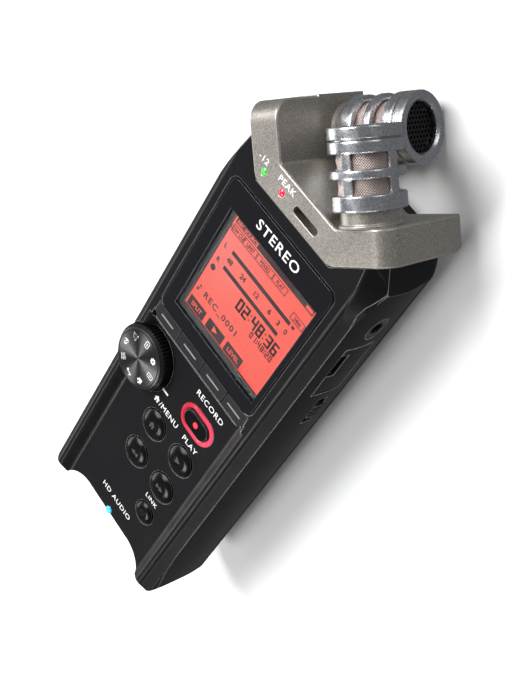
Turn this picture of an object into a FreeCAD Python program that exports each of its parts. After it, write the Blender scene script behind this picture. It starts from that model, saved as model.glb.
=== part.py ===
import FreeCAD, Part
import math
import os

# Handheld stereo voice recorder, in millimetres.
# Frame: it lies on its back, +X to the right across the display, +Y towards the microphones and
# +Z out of the display. The pieces are drawn in the display's own axes, with Y = 0 at the upper
# edge of the display plate and Z = 0 on its face, and save() moves them so that the origin is
# below the middle of the whole recorder, on the plane of the hump that it lies on.

V = FreeCAD.Vector
UP = V(0, 0, 1)
ROOT2 = math.sqrt(2)

# ---- overall sizes
HALF_WIDTH = 25.8          # half of the body's width, at its widest
ELBOW_Y, ELBOW_Z = 5.6, -7.3   # where the seam is deepest, and the side turns in towards the guard
NAPE_X = 21.4              # half width where the side meets the guard's arm
CONTROL_X = 26.1           # how far the side controls reach out
TOP_Y = 35.8               # highest point of the capsules
BOTTOM_Y = -119.2          # lowest point of the two feet of the bottom end
BACK_Z = -25.0             # flat back of the body
HUMP_Z = -31.6             # back of the hump behind the microphones
CREST_X = 21.6             # edge where the flat front turns into the shoulder
SEAM_Z = -3.0              # seam between the front and the back shell
WALL = 2.0                 # back wall
NOTCH_Y = -112.9           # middle of the notch between the feet
FOOT_SIDE_Y = -116.4       # where a foot's outer corner starts to turn
INSIDE_X = 23.0            # half width of the hollow inside
CHEST_X = 19.8             # half width of the hollow beside the upper end
CHEST_Y = -12.0            # where the hollow narrows
CHEEK_Y = -9.0             # where the shoulder starts to turn
CHEEK_STEPS = 8
# Side views, as (y, z): the seam drops at both ends, and the feet are cut back below and in front.
SEAM = ((-125, -6.5), (-108, -3.6), (-100, SEAM_Z), (-1.0, SEAM_Z), (1.4, -3.9), (3.6, -5.7),
        (ELBOW_Y, ELBOW_Z), (20, ELBOW_Z), (20, 5), (-125, 5))
HEEL = ((-120, -17.5), (-116.6, BACK_Z - 0.6), (-120, BACK_Z - 0.6))
TOE = ((-116.3, 0.6), (-117.2, -0.5), (-118.9, -2.4), (-119.6, -4.4), (-121, -4.4), (-121, 0.6))
HUMP_FOOT = (22, -13, 10.3)    # half width, lower and upper end on the flat back
HUMP_TOP = (17, -5, 9.6)       # the same on the plane that it lies on

# ---- front: display plate, soft keys and lowered key panel
PLATE_HALF = 19.25
PLATE_LENGTH = 43.3
PLATE_THICK = 1.0
KEY_STRIP_END = -47.7      # lower edge of the soft keys
STRIP_END = -48.3          # where the front steps down to the key panel
PANEL_Z = -2.2             # face of the lowered key panel
PANEL_HALF = 17.4
PANEL_BACK_Z = -3.8
RAIL_CREST = 21.0          # where the slope beside the panel reaches the front
GAP = 0.25                 # gap round a moving cap
WINDOW = (-15.3, 17.5, -39.2, -7.0)      # window in the plate: left, right, bottom, top
GLASS = (-13.9, 17.0, -37.8, -7.7)       # lit area of the display, in the same order
SOFT_KEY_CUTS = (-PLATE_HALF, -9.2, 1.1, 10.9, PLATE_HALF)
SOFT_KEY_NAMES = ("soft_key_1", "soft_key_2", "soft_key_3", "soft_key_4")

# ---- round keys: name, centre and radius of the cap
KEYS = (
    ("home_key", -2.6, -74.9, 4.2),
    ("play_key", 9.8, -74.9, 4.2),
    ("rewind_key", -2.6, -87.3, 4.2),
    ("forward_key", 9.8, -87.3, 4.2),
    ("link_key", 9.8, -99.5, 3.2),
)
KEY_CROWN = 0.75           # how far a cap stands above the panel at its middle
FLANGE = 0.7               # flange that keeps a cap in, beyond its radius
RECORD_AT = (8.0, -61.4)
RECORD_RING = (12.6, 8.2)  # outer length and width of the lit ring
RECORD_RING_WALL = 1.15
DIAL_AT = (-15.2, -61.0)
DIAL_RADIUS = 9.2
DIAL_TOP_Z = 1.5
DIAL_BOTTOM_Z = -2.65
DIAL_TEETH = 60
DIAL_POCKET_Z = -2.95

# ---- microphone guard and capsules
GUARD_FRONT_Z = 0.6
GUARD_BACK_Z = -25.0
GUARD_FLOOR_Y = 11.7       # floor of the cradle between the arms
GUARD_BASE_Y = 3.7         # straight lower edge
GUARD_BASE_HALF = 13.7
ARM_LINE = 10.0            # outer side of an arm: y = |x| - ARM_LINE
SEAT_LINE = 1.8            # seat of an arm: y = |x| + SEAT_LINE
ARM_END = 41.4             # end of an arm: |x| + y = ARM_END
ARM_STEP = 0.2             # the rear part of the left arm's end stands out by this, both ways
ARM_STEP_Z = -13.8
ARM_BACK_Z = -29.6         # back of the left arm
ARM_BEVEL = (1.2, 2.3)     # bevel of the right arm's outer rear edge: across, along Z
CRADLE_RADIUS = 1.4
CROSSING_Y = 28.9          # where the two capsule axes cross, seen from the front
FRONT_CAPSULE_Z = -5.2
REAR_CAPSULE_Z = -23.5
RING_RADIUS = 8.05
OPENING_RADIUS = 5.65
NECK_RADIUS = 6.4
TUBE_RADIUS = 7.1
SLEEVE_RADIUS = 6.6
# Heights above the seat: neck end, then each ring's start and end.
NECK_END = 3.5
RINGS = ((3.5, 6.9), (10.2, 12.1), (15.4, 18.0), (18.3, 20.95))
WINDOW_ROWS = ((6.9, 10.2), (12.1, 15.4))
PILLAR_WIDTH = 2.4
LED_RADIUS = 0.95
STATUS_LED_Y = -112.3      # light in the notch of the bottom end
STATUS_LED_RADIUS = 1.1
LEDS = (("level_led", -12.6), ("peak_led", -5.9))
LED_Y = 7.1
SLOT = (-1.2, 7.2, 2.0)    # slot in the guard: left, right, width

# ---- inside
BOARD_Z = -7.0
BOARD_THICK = 1.4
CELL_RADIUS = 7.1
CELL_X = 7.35
CELL_LENGTH = 50.0
CELL_Z = -15.85
CELL_TOP_Y = -53.5
DOOR_TOP_Y = -50.0
DOOR_HALF = 19.5
DOOR_THICK = 1.6

# ---- sides
JACK_RADIUS = 1.8
PHONES_JACK = (-7.0, -13.5)
LINE_JACK = (-9.0, -13.5)
CARD_DOOR = (-28.6, -13.0, -17.5, -7.5)  # pivot end, free end, lowest, highest
CARD_DOOR_THICK = 1.3
PIVOT_X = 24.9
PIVOT_RADIUS = 0.95
SWITCH_Y, SWITCH_Z = -37.5, -14.0
SWITCH_SLOT = (9.6, 3.6)
ROCKER_Y, ROCKER_Z = -33.0, -13.0
USB_Y, USB_Z = -52.0, -13.5

# ---- back
TRIPOD_Y = -32.0
TRIPOD_RADIUS = 3.175
TRIPOD_DEPTH = 6.0
SCREWS = ((-20.3, -46.0), (20.3, -46.0), (-20.3, -17.0), (20.3, -17.0))
SPEAKER_X = -13.3          # first of four columns of holes
SPEAKER_Y = -21.5          # first of three rows
SPEAKER_PITCH = 2.2


def save(name, shape):
    """Move a piece into the part's frame and write it."""
    placed = shape.copy()
    placed.translate(V(0, -(TOP_Y + BOTTOM_Y) / 2, -HUMP_Z))
    placed.exportStep("parts/" + name + ".step")


def block(x0, x1, y0, y1, z0, z1):
    return Part.makeBox(x1 - x0, y1 - y0, z1 - z0, V(x0, y0, z0))


def rod(radius, start, end):
    """A cylinder from one point to another."""
    along = end - start
    return Part.makeCylinder(radius, along.Length, start, along)


def post(radius, x, y, z0, z1):
    return Part.makeCylinder(radius, z1 - z0, V(x, y, z0))


def fuse(shapes):
    return shapes[0].multiFuse(list(shapes[1:])).removeSplitter()


def polygon_face(points):
    return Part.Face(Part.makePolygon(list(points) + [points[0]]))


def prism(points, z0, z1):
    """Extrude an outline of (x, y) points from z0 to z1."""
    face = polygon_face([V(x, y, z0) for x, y in points])
    return face.extrude(V(0, 0, z1 - z0))


def line(a, b):
    return Part.makeLine(V(*a), V(*b))


def arc(a, middle, b):
    return Part.Arc(V(*a), V(*middle), V(*b)).toShape()


def rounded_block(x0, x1, y0, y1, z0, z1, radius):
    """A block with its four upright edges rounded."""
    body = block(x0, x1, y0, y1, z0, z1)
    upright = [e for e in body.Edges if abs(e.tangentAt(e.FirstParameter).z) > 0.9]
    return body.makeFillet(radius, upright)


def obround(length, width, x, y, z0, z1):
    return rounded_block(x - length / 2, x + length / 2, y - width / 2, y + width / 2,
                         z0, z1, width / 2 - 0.001)


def spun(points, x, y):
    """A solid turned about the upright line through x, y from (radius, z) points."""
    outline = [V(x + r, y, z) for r, z in points]
    return polygon_face(outline).revolve(V(x, y, 0), UP, 360)


# ------------------------------------------------------------------ body
def body_outline():
    """Front view of the body: a notch between two feet below, the guard's line above."""
    guard_y = GUARD_BASE_Y - 0.1
    guard_x = GUARD_BASE_HALF - 0.1
    top_y = NAPE_X - guard_x + guard_y
    half = [
        line((0, guard_y, 0), (guard_x, guard_y, 0)),
        line((guard_x, guard_y, 0), (NAPE_X, top_y, 0)),
        line((NAPE_X, top_y, 0), (HALF_WIDTH, ELBOW_Y - 0.6, 0)),
        line((HALF_WIDTH, ELBOW_Y - 0.6, 0), (HALF_WIDTH, FOOT_SIDE_Y, 0)),
        arc((HALF_WIDTH, FOOT_SIDE_Y, 0), (25.3, -118.1, 0), (23.9, -118.9, 0)),
        line((23.9, -118.9, 0), (20.6, BOTTOM_Y, 0)),
        arc((20.6, BOTTOM_Y, 0), (19.4, -119.1, 0), (18.4, -118.2, 0)),
        arc((18.4, -118.2, 0), (15.0, -114.4, 0), (9.0, NOTCH_Y, 0)),
        line((9.0, NOTCH_Y, 0), (0, NOTCH_Y, 0)),
    ]
    other = [e.mirror(V(0, 0, 0), V(1, 0, 0)) for e in half]
    return Part.Wire(Part.__sortEdges__(half + other))


def body_section():
    """Cross-section of the body: flat front, sloping shoulder, full side, flat back."""
    half = [
        line((0, 0, 0), (CREST_X, 0, 0)),
        arc((CREST_X, 0, 0), (22.3, 0, -0.28), (22.8, 0, -0.75)),
        line((22.8, 0, -0.75), (25.0, 0, SEAM_Z)),
        arc((25.0, 0, SEAM_Z), (HALF_WIDTH, 0, -12.0), (25.0, 0, -21.4)),
        arc((25.0, 0, -21.4), (24.1, 0, -24.1), (22.2, 0, BACK_Z)),
        line((22.2, 0, BACK_Z), (0, 0, BACK_Z)),
    ]
    other = [e.mirror(V(0, 0, 0), V(1, 0, 0)) for e in half]
    return Part.Wire(Part.__sortEdges__(half + other))


def cheek_cut():
    """What is cut off the right shoulder, which turns and deepens towards the elbow."""
    sections = []
    for i in range(CHEEK_STEPS + 1):
        share = i / CHEEK_STEPS
        turn = share ** 2.4
        y = CHEEK_Y + (ELBOW_Y - CHEEK_Y) * share
        sections.append(shoulder_line(y, 22.75 - 0.6 * turn, SEAM_Z - 0.25 + (ELBOW_Z - SEAM_Z) * turn))
    sections.append(shoulder_line(13.0, 20.6, 2.2 * ELBOW_Z))
    return Part.makeLoft(sections, True, True)


def shoulder_line(y, crest_x, seam_z):
    """What lies outside the shoulder at one place along the body."""
    corners = [(crest_x - 2.0, 2.0), (crest_x, -0.55), (25.4, seam_z), (30.0, seam_z), (30.0, 2.0)]
    points = [V(x, y, z) for x, z in corners]
    return Part.makePolygon(points + [points[0]])


def solid_body():
    """The whole body as one block, before it is split and hollowed."""
    tall = Part.Face(body_outline()).extrude(V(0, 0, BACK_Z - 1))
    tall.translate(V(0, 0, 0.5))
    along = Part.Face(body_section()).extrude(V(0, 140, 0))
    along.translate(V(0, BOTTOM_Y - 2, 0))
    body = tall.common(along)
    cheek = cheek_cut()
    body = body.cut(cheek).cut(cheek.mirror(V(0, 0, 0), V(1, 0, 0)))
    return body.cut(across(HEEL)).cut(across(TOE))


def across(points):
    """A prism over the whole width with an outline of (y, z) points."""
    body = prism(points, -30, 30)
    body.rotate(V(0, 0, 0), V(1, 1, 1), 120)
    return body


def front_region():
    """Everything in front of the seam."""
    return across(SEAM)


def panel_recess():
    """The lowered key panel between two rounded rails, open at the bottom end."""
    y = BOTTOM_Y - 2
    foot, crest = (PANEL_HALF, y, PANEL_Z), (RAIL_CREST, y, 0.1)
    slope = Part.BezierCurve()
    slope.setPoles([V(*foot), V(PANEL_HALF + 1.3, y, PANEL_Z + 0.05), V(RAIL_CREST - 1.5, y, -0.35), V(*crest)])
    half = [line((0, y, PANEL_Z), foot), slope.toShape(), line(crest, (RAIL_CREST, y, 3)),
            line((RAIL_CREST, y, 3), (0, y, 3))]
    other = [e.mirror(V(0, 0, 0), V(1, 0, 0)) for e in half]
    face = Part.Face(Part.Wire(Part.__sortEdges__(half + other)))
    trough = face.extrude(V(0, STRIP_END - BOTTOM_Y + 2, 0))
    corners = block(-PLATE_HALF - 0.49, PLATE_HALF + 0.49, STRIP_END - 1, STRIP_END + 3.2, PANEL_Z, 3)
    trough = trough.fuse(corners)
    strip = rounded_block(-PLATE_HALF - 0.5, PLATE_HALF + 0.5, STRIP_END, 10, -5, 5, 3.0)
    return trough.cut(strip)


def plate_rim():
    """The bevelled edge of the opening that the display plate lies in."""
    rings = []
    for grow, z in ((GAP, -0.2), (GAP + 0.25, 0.05)):
        outline = rounded_block(-PLATE_HALF - grow, PLATE_HALF + grow, -PLATE_LENGTH - 0.1, grow, z, z + 1,
                                2.4 + grow - GAP)
        lowest = min(outline.Faces, key=lambda face: face.CenterOfMass.z)
        rings.append(lowest.OuterWire)
    return Part.makeLoft(rings, True, True)


def cap_hole(radius, x, y):
    """Hole for a round cap, with a small countersink."""
    hole = post(radius + GAP, x, y, PANEL_BACK_Z - 1, 5)
    rim = radius + GAP
    sink = spun([(0, PANEL_Z - 0.25), (rim, PANEL_Z - 0.25), (rim + 0.3, PANEL_Z + 0.05),
                 (0, PANEL_Z + 0.05)], x, y)
    return hole.fuse(sink)


def hollow(z0, z1, inset=0):
    """The space inside the shells between two heights, narrower at the upper end."""
    wide = block(-INSIDE_X + inset, INSIDE_X - inset, -109.5 + inset, CHEST_Y - inset, z0, z1)
    narrow = block(-CHEST_X + inset, CHEST_X - inset, CHEST_Y - inset - 1, 1.2 - inset, z0, z1)
    return wide.fuse(narrow).removeSplitter()


def front_shell(body):
    shell = body.common(front_region())
    shell = shell.cut(hollow(-30, -2.9))
    shell = fuse([shell, hollow(-4.0, -2.8, 0.3)])
    cuts = [
        panel_recess(),
        rounded_block(-PLATE_HALF - GAP, PLATE_HALF + GAP, -PLATE_LENGTH - 0.1, GAP,
                      -PLATE_THICK, 3, 2.4),
        block(-PLATE_HALF - 0.05, PLATE_HALF + 0.05, KEY_STRIP_END - 0.2, -PLATE_LENGTH - 0.05, -2.4, 3),
        plate_rim(),
        block(WINDOW[0] - 0.6, WINDOW[1] + 0.6, WINDOW[2] - 0.6, WINDOW[3] + 0.6, -6, 0),
        post(DIAL_RADIUS + 0.3, *DIAL_AT, DIAL_POCKET_Z, 5),
        post(2.3, *DIAL_AT, -6, 5),
        obround(RECORD_RING[0] + 0.04, RECORD_RING[1] + 0.04, *RECORD_AT, -6, 5),
        post(STATUS_LED_RADIUS + 0.02, 0, STATUS_LED_Y, -4.05, 0),
    ]
    cuts += [cap_hole(radius, x, y) for name, x, y, radius in KEYS]
    for left, right in zip(SOFT_KEY_CUTS, SOFT_KEY_CUTS[1:]):
        middle = (left + right) / 2
        cuts.append(block(middle - 2, middle + 2, KEY_STRIP_END + 1.0, -PLATE_LENGTH - 1.2, -6, 0))
    for cut in cuts:
        shell = shell.cut(cut)
    return shell


def hump():
    """The raised back behind the microphones, which the recorder lies on."""
    rings = []
    for (half, y0, y1), z in ((HUMP_FOOT, BACK_Z), (HUMP_TOP, HUMP_Z)):
        corners = [V(-half, y0, z), V(half, y0, z), V(half, y1, z), V(-half, y1, z)]
        rings.append(Part.makePolygon(corners + [corners[0]]))
    return Part.makeLoft(rings, True, True)


def back_shell(body):
    shell = body.cut(front_region())
    shell = shell.cut(hollow(BACK_Z + WALL, 5))
    shell = fuse([shell, hump(), post(5.6, 0, TRIPOD_Y, BACK_Z + 1, BACK_Z + TRIPOD_DEPTH + 1.6)])
    door_end, door_free, door_low, door_high = CARD_DOOR
    slot_long, slot_wide = SWITCH_SLOT
    cuts = [
        post(4.4, 0, TRIPOD_Y, BACK_Z - 1, BACK_Z + TRIPOD_DEPTH + 0.1),
        door_plate(0.25).fuse(door_rails(0.25)),
        block(-DOOR_HALF + 1.5, DOOR_HALF - 1.5, -108.5, DOOR_TOP_Y - 2.0, BACK_Z, BACK_Z + 3),
        rod(3.3, V(CHEST_X - 1, *PHONES_JACK), V(30, *PHONES_JACK)),
        rod(3.3, V(-CHEST_X + 1, *LINE_JACK), V(-30, *LINE_JACK)),
        block(INSIDE_X - 1, 24.0, door_end + 2.0, door_free - 1.2, door_low + 1.2, door_high - 1.2),
        door_space(),
        switch_space(slot_long, slot_wide),
        block(-30, -INSIDE_X + 1, USB_Y - 4.0, USB_Y + 4.0, USB_Z - 1.6, USB_Z + 1.6),
        block(-30, -24.4, ROCKER_Y - 8.3, ROCKER_Y + 8.3, ROCKER_Z - 2.6, ROCKER_Z + 2.6),
        block(-25, -INSIDE_X + 1, ROCKER_Y - 5.5, ROCKER_Y + 5.5, ROCKER_Z - 1.4, ROCKER_Z + 1.4),
    ]
    cuts += [post(1.9, x, y, BACK_Z - 1, BACK_Z + 1.2) for x, y in SCREWS]
    cuts += [post(0.95, x, y, BACK_Z - 1, BACK_Z + 6) for x, y in SCREWS]
    cuts += [post(0.7, SPEAKER_X + SPEAKER_PITCH * i, SPEAKER_Y - SPEAKER_PITCH * j,
                  BACK_Z - 1, BACK_Z + WALL + 1)
             for i in range(4) for j in range(3)]
    for cut in cuts:
        shell = shell.cut(cut)
    return shell


def door_plate(grow):
    """The battery door: flat, level with the back, reaching the bottom end."""
    half = DOOR_HALF + grow
    return block(-half, half, -125, DOOR_TOP_Y + grow, BACK_Z - 2 * grow, BACK_Z + DOOR_THICK + grow)


def door_rails(grow):
    """Tongues along both sides of the door that run in the shell."""
    rails = []
    for side in (-1, 1):
        middle = side * (DOOR_HALF + 0.3)
        rails.append(block(middle - 0.9 - grow, middle + 0.9 + grow, -125, DOOR_TOP_Y - 1 + grow,
                           BACK_Z + 0.7 - grow, BACK_Z + 1.4 + grow))
    return fuse(rails)


def battery_door(body):
    door = fuse([door_plate(0), door_rails(0)]).common(body)
    for i in range(5):
        y = DOOR_TOP_Y - 5.0 - 1.6 * i
        door = door.cut(block(-7 + i, 7 - i, y - 0.4, y + 0.4, BACK_Z - 1, BACK_Z + 0.4))
    return door


def door_space():
    """Pocket in the right side for the card door, round at its pivot."""
    end, free, low, high = CARD_DOOR
    pocket = block(24.9 - CARD_DOOR_THICK + 0.9, 30, end, free + 0.2, low - 0.2, high + 0.2)
    round_end = post(PIVOT_RADIUS + 0.2, PIVOT_X, end, low - 0.2, high + 0.2)
    beside = block(PIVOT_X, 30, end - PIVOT_RADIUS - 0.2, end + 1, low - 0.2, high + 0.2)
    return fuse([pocket, round_end, beside])


def card_door(body):
    end, free, low, high = CARD_DOOR
    plate = block(24.9 - CARD_DOOR_THICK + 1.1, 30, end, free, low, high)
    knuckle = post(PIVOT_RADIUS, PIVOT_X, end, low, high)
    door = plate.common(body).fuse(knuckle).common(body)
    notch = rounded_block(24, 30, free - 9.5, free - 2.0, high - 2.4, high + 0.5, 0.8)
    return door.cut(notch).removeSplitter()


def switch_space(length, width):
    """Slot in the right side that the power switch slides in."""
    half_l, half_w = length / 2, width / 2
    outer = block(24.6, 30, SWITCH_Y - half_l, SWITCH_Y + half_l, SWITCH_Z - half_w, SWITCH_Z + half_w)
    stem = block(INSIDE_X - 1, 25, SWITCH_Y - 2.6, SWITCH_Y + 2.6, SWITCH_Z - 0.9, SWITCH_Z + 0.9)
    return outer.fuse(stem)


def power_switch():
    cap = block(24.85, CONTROL_X, SWITCH_Y - 2.6, SWITCH_Y + 2.6, SWITCH_Z - 1.5, SWITCH_Z + 1.5)
    for i in range(3):
        y = SWITCH_Y - 1.2 + 1.2 * i
        cap = cap.cut(block(CONTROL_X - 0.3, 27, y - 0.3, y + 0.3, SWITCH_Z - 2, SWITCH_Z + 2))
    stem = block(22.6, 25, SWITCH_Y - 0.8, SWITCH_Y + 0.8, SWITCH_Z - 0.6, SWITCH_Z + 0.6)
    return fuse([cap, stem])


def volume_rocker():
    bar = block(-CONTROL_X, -24.75, ROCKER_Y - 8.0, ROCKER_Y + 8.0, ROCKER_Z - 2.3, ROCKER_Z + 2.3)
    upright = [e for e in bar.Edges if e.Length > 10 and e.CenterOfMass.x < -CONTROL_X + 0.1]
    bar = bar.makeFillet(0.6, upright)
    waist = block(-30, -CONTROL_X + 0.3, ROCKER_Y - 0.9, ROCKER_Y + 0.9, ROCKER_Z - 3, ROCKER_Z + 3)
    stem = block(-25, -22.6, ROCKER_Y - 1.0, ROCKER_Y + 1.0, ROCKER_Z - 1.0, ROCKER_Z + 1.0)
    return bar.cut(waist).fuse(stem).removeSplitter()


# ------------------------------------------------------------------ display and keys
def display_plate():
    plate = rounded_block(-PLATE_HALF, PLATE_HALF, -PLATE_LENGTH, 0, -PLATE_THICK + 0.05, 0.05, 2.2)
    plate = plate.cut(block(WINDOW[0], WINDOW[1], WINDOW[2], WINDOW[3], -3, 3))
    front = [e for e in plate.Edges if abs(e.CenterOfMass.z - 0.05) < 0.01]
    return plate.makeChamfer(0.15, front)


def display_window():
    return block(WINDOW[0] + 0.02, WINDOW[1] - 0.02, WINDOW[2] + 0.02, WINDOW[3] - 0.02, -0.75, 0.0)


def display_frame():
    """Grey frame round the lit area, behind the plate."""
    outer = block(WINDOW[0] - 0.5, WINDOW[1] + 0.5, WINDOW[2] - 0.5, WINDOW[3] + 0.5, -1.5, -1.05)
    return outer.cut(block(GLASS[0], GLASS[1], GLASS[2], GLASS[3], -3, 0))


def display_glass():
    return block(GLASS[0] - 0.9, GLASS[1] + 0.4, GLASS[2] - 0.9, GLASS[3] + 0.3, -2.6, -1.5)


def backlight_panel():
    return block(GLASS[0] - 0.9, GLASS[1] + 0.4, GLASS[2] - 0.9, GLASS[3] + 0.3, -4.2, -2.65)


def soft_key(left, right):
    """One key of the strip: cap with a raised line, and a foot through the shell."""
    outer = rounded_block(-PLATE_HALF, PLATE_HALF, KEY_STRIP_END, -30, -1.9, 0.0, 2.2)
    cap = outer.common(block(left + 0.17, right - 0.17, KEY_STRIP_END - 1, -PLATE_LENGTH - 0.25, -3, 3))
    middle = (left + right) / 2
    mark = block(middle - 2.6, middle + 2.6, -45.75, -45.25, -0.1, 0.2)
    foot = block(middle - 1.6, middle + 1.6, KEY_STRIP_END + 1.4, -PLATE_LENGTH - 1.5, -5.0, -1.8)
    return fuse([cap, mark, foot])


def round_key(x, y, radius):
    """A domed cap with a flange behind the panel."""
    rim_z = PANEL_Z + 0.1
    cap = Part.Wire([
        line((x, y, rim_z + KEY_CROWN), (x + radius * 0.3, y, rim_z + KEY_CROWN)),
        arc((x + radius * 0.3, y, rim_z + KEY_CROWN), (x + radius * 0.78, y, rim_z + KEY_CROWN * 0.72),
            (x + radius, y, rim_z)),
        line((x + radius, y, rim_z), (x + radius, y, PANEL_BACK_Z - 0.4)),
        line((x + radius, y, PANEL_BACK_Z - 0.4), (x + radius + FLANGE, y, PANEL_BACK_Z - 0.4)),
        line((x + radius + FLANGE, y, PANEL_BACK_Z - 0.4), (x + radius + FLANGE, y, PANEL_BACK_Z - 1.1)),
        line((x + radius + FLANGE, y, PANEL_BACK_Z - 1.1), (x, y, PANEL_BACK_Z - 1.1)),
        line((x, y, PANEL_BACK_Z - 1.1), (x, y, rim_z + KEY_CROWN)),
    ])
    return Part.Face(cap).revolve(V(x, y, 0), UP, 360)


def record_ring():
    length, width = RECORD_RING
    ring = obround(length, width, *RECORD_AT, PANEL_BACK_Z, PANEL_Z + 0.55)
    inner = obround(length - 2 * RECORD_RING_WALL, width - 2 * RECORD_RING_WALL, *RECORD_AT, -9, 5)
    ring = ring.cut(inner)
    top = [e for e in ring.Edges if e.CenterOfMass.z > PANEL_Z + 0.5]
    return ring.makeChamfer(0.3, top)


def record_key():
    length = RECORD_RING[0] - 2 * RECORD_RING_WALL - 2 * GAP
    width = RECORD_RING[1] - 2 * RECORD_RING_WALL - 2 * GAP
    cap = obround(length, width, *RECORD_AT, -4.9, PANEL_Z + 0.75)
    top = [e for e in cap.Edges if e.CenterOfMass.z > PANEL_Z + 0.7]
    return cap.makeChamfer(0.3, top)


def key_mat():
    """Rubber switch mat behind the keys, with one dome under each."""
    mat = block(-12, 18, -104, -56, -6.6, -5.9)
    domes = [post(2.0, x, y, -5.95, -5.4) for name, x, y, radius in KEYS]
    domes.append(post(1.8, *RECORD_AT, -5.95, -5.4))
    return fuse([mat] + domes).cut(post(2.8, *DIAL_AT, -9, 0))


def mode_dial():
    """Knurled thumb wheel with a sloping rim and a shaft."""
    x, y = DIAL_AT
    teeth = []
    for i in range(2 * DIAL_TEETH):
        angle = math.pi * i / DIAL_TEETH
        radius = DIAL_RADIUS if i % 2 else DIAL_RADIUS - 0.35
        teeth.append((x + radius * math.cos(angle), y + radius * math.sin(angle)))
    wheel = prism(teeth, DIAL_BOTTOM_Z, DIAL_TOP_Z)
    form = spun([(0, DIAL_BOTTOM_Z), (DIAL_RADIUS + 0.1, DIAL_BOTTOM_Z), (DIAL_RADIUS + 0.1, 0.2),
                 (DIAL_RADIUS - 0.9, DIAL_TOP_Z - 0.15), (DIAL_RADIUS - 1.3, DIAL_TOP_Z),
                 (0, DIAL_TOP_Z)], x, y)
    return wheel.common(form).fuse(post(2.0, x, y, -5.6, DIAL_BOTTOM_Z + 0.1)).removeSplitter()


def dial_encoder():
    x, y = DIAL_AT
    body = block(x - 5.2, x + 2.9, y - 5, y + 5, BOARD_Z + 0.02, -4.2)
    return body.cut(post(2.25, x, y, -9, 0))


# ------------------------------------------------------------------ microphones
def guard_outline():
    """The cradle: two arms at 45 degrees on a straight base."""
    corner = (ARM_END + ARM_LINE) / 2
    tip = (ARM_END - SEAT_LINE) / 2
    inner = GUARD_FLOOR_Y - SEAT_LINE
    half = [(0, GUARD_BASE_Y), (GUARD_BASE_HALF, GUARD_BASE_Y), (corner, corner - ARM_LINE),
            (tip, tip + SEAT_LINE), (inner, GUARD_FLOOR_Y), (0, GUARD_FLOOR_Y)]
    return half + [(-x, y) for x, y in reversed(half) if x > 0]


def edges_along_z(shape, x, y):
    """The upright edges at x, y and at its mirror image."""
    found = []
    for e in shape.Edges:
        c = e.CenterOfMass
        if abs(abs(c.x) - x) < 0.05 and abs(c.y - y) < 0.05 and e.Length > 5:
            found.append(e)
    return found


def arm_band():
    """The strip between the outer side and the seat of the left arm, beyond its end too."""
    return [(-10, 10 + SEAT_LINE), (-30, 30 + SEAT_LINE), (-30, 30 - ARM_LINE), (-10, 10 - ARM_LINE)]


def arm_corner():
    """The bevel on the right arm between its outer side and its back."""
    bevel = prism([(-1, -1), (ARM_BEVEL[0], -1), (ARM_BEVEL[0], 0), (0, ARM_BEVEL[1]), (-1, ARM_BEVEL[1])],
                  -40, 40)
    bevel.Placement = FreeCAD.Placement(V(0, 0, 0), FreeCAD.Rotation(V(-1, 1, 0), UP, V(1, 1, 0), "XYZ"))
    corner = (ARM_END + ARM_LINE) / 2
    bevel.translate(V(corner, corner - ARM_LINE, GUARD_BACK_Z))
    return bevel.common(block(14, 40, -10, 40, -40, 10))


def mic_guard():
    corner = (ARM_END + ARM_LINE) / 2
    tip = (ARM_END - SEAT_LINE) / 2
    guard = prism(guard_outline(), GUARD_BACK_Z, GUARD_FRONT_Z)
    middle = (corner + tip) / 2
    rounded = [e for e in guard.Edges if abs(e.CenterOfMass.z - GUARD_FRONT_Z) < 0.01
               and abs(abs(e.CenterOfMass.x) - middle) < 0.05]
    guard = guard.makeFillet(4.6, rounded)
    guard = guard.makeFillet(CRADLE_RADIUS, edges_along_z(guard, GUARD_FLOOR_Y - SEAT_LINE, GUARD_FLOOR_Y))
    guard = guard.makeFillet(5.0, edges_along_z(guard, GUARD_BASE_HALF, GUARD_BASE_Y))
    front = [e for e in guard.Edges if abs(e.CenterOfMass.z - GUARD_FRONT_Z) < 0.01
             and e.CenterOfMass.y < GUARD_FLOOR_Y + 3.3]
    guard = guard.makeChamfer(0.35, front)
    arm = [(-GUARD_FLOOR_Y + SEAT_LINE - 0.2, GUARD_FLOOR_Y + 0.2), (-tip, tip + SEAT_LINE),
           (-corner, corner - ARM_LINE), (-GUARD_FLOOR_Y - ARM_LINE - 0.2, GUARD_FLOOR_Y + 0.2)]
    step = [(-tip + 0.8, tip + SEAT_LINE - 0.8), (-tip - ARM_STEP, tip + SEAT_LINE + ARM_STEP),
            (-corner - ARM_STEP, corner - ARM_LINE + ARM_STEP), (-corner + 0.8, corner - ARM_LINE - 0.8)]
    guard = fuse([guard, prism(arm, ARM_BACK_Z, GUARD_BACK_Z + 0.5),
                  prism(step, ARM_BACK_Z, ARM_STEP_Z).common(prism(arm_band(), ARM_BACK_Z, ARM_STEP_Z))])
    guard = guard.cut(arm_corner())
    left, right, width = SLOT
    guard = guard.cut(obround(right - left, width, (left + right) / 2, LED_Y, -4.5, 3))
    for name, x in LEDS:
        guard = guard.cut(post(LED_RADIUS + 0.03, x, LED_Y, -4.0, 3))
    return guard


def led(x, y, radius, z0, z1):
    """A light with a domed end."""
    body = post(radius, x, y, z0, z1 - 0.35)
    dome = Part.makeSphere((radius ** 2 + 0.35 ** 2) / 0.7)
    dome.translate(V(x, y, z1 - (radius ** 2 + 0.35 ** 2) / 0.7))
    cap = dome.common(post(radius, x, y, z1 - 0.36, z1 + 1))
    return body.fuse(cap).removeSplitter()


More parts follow.
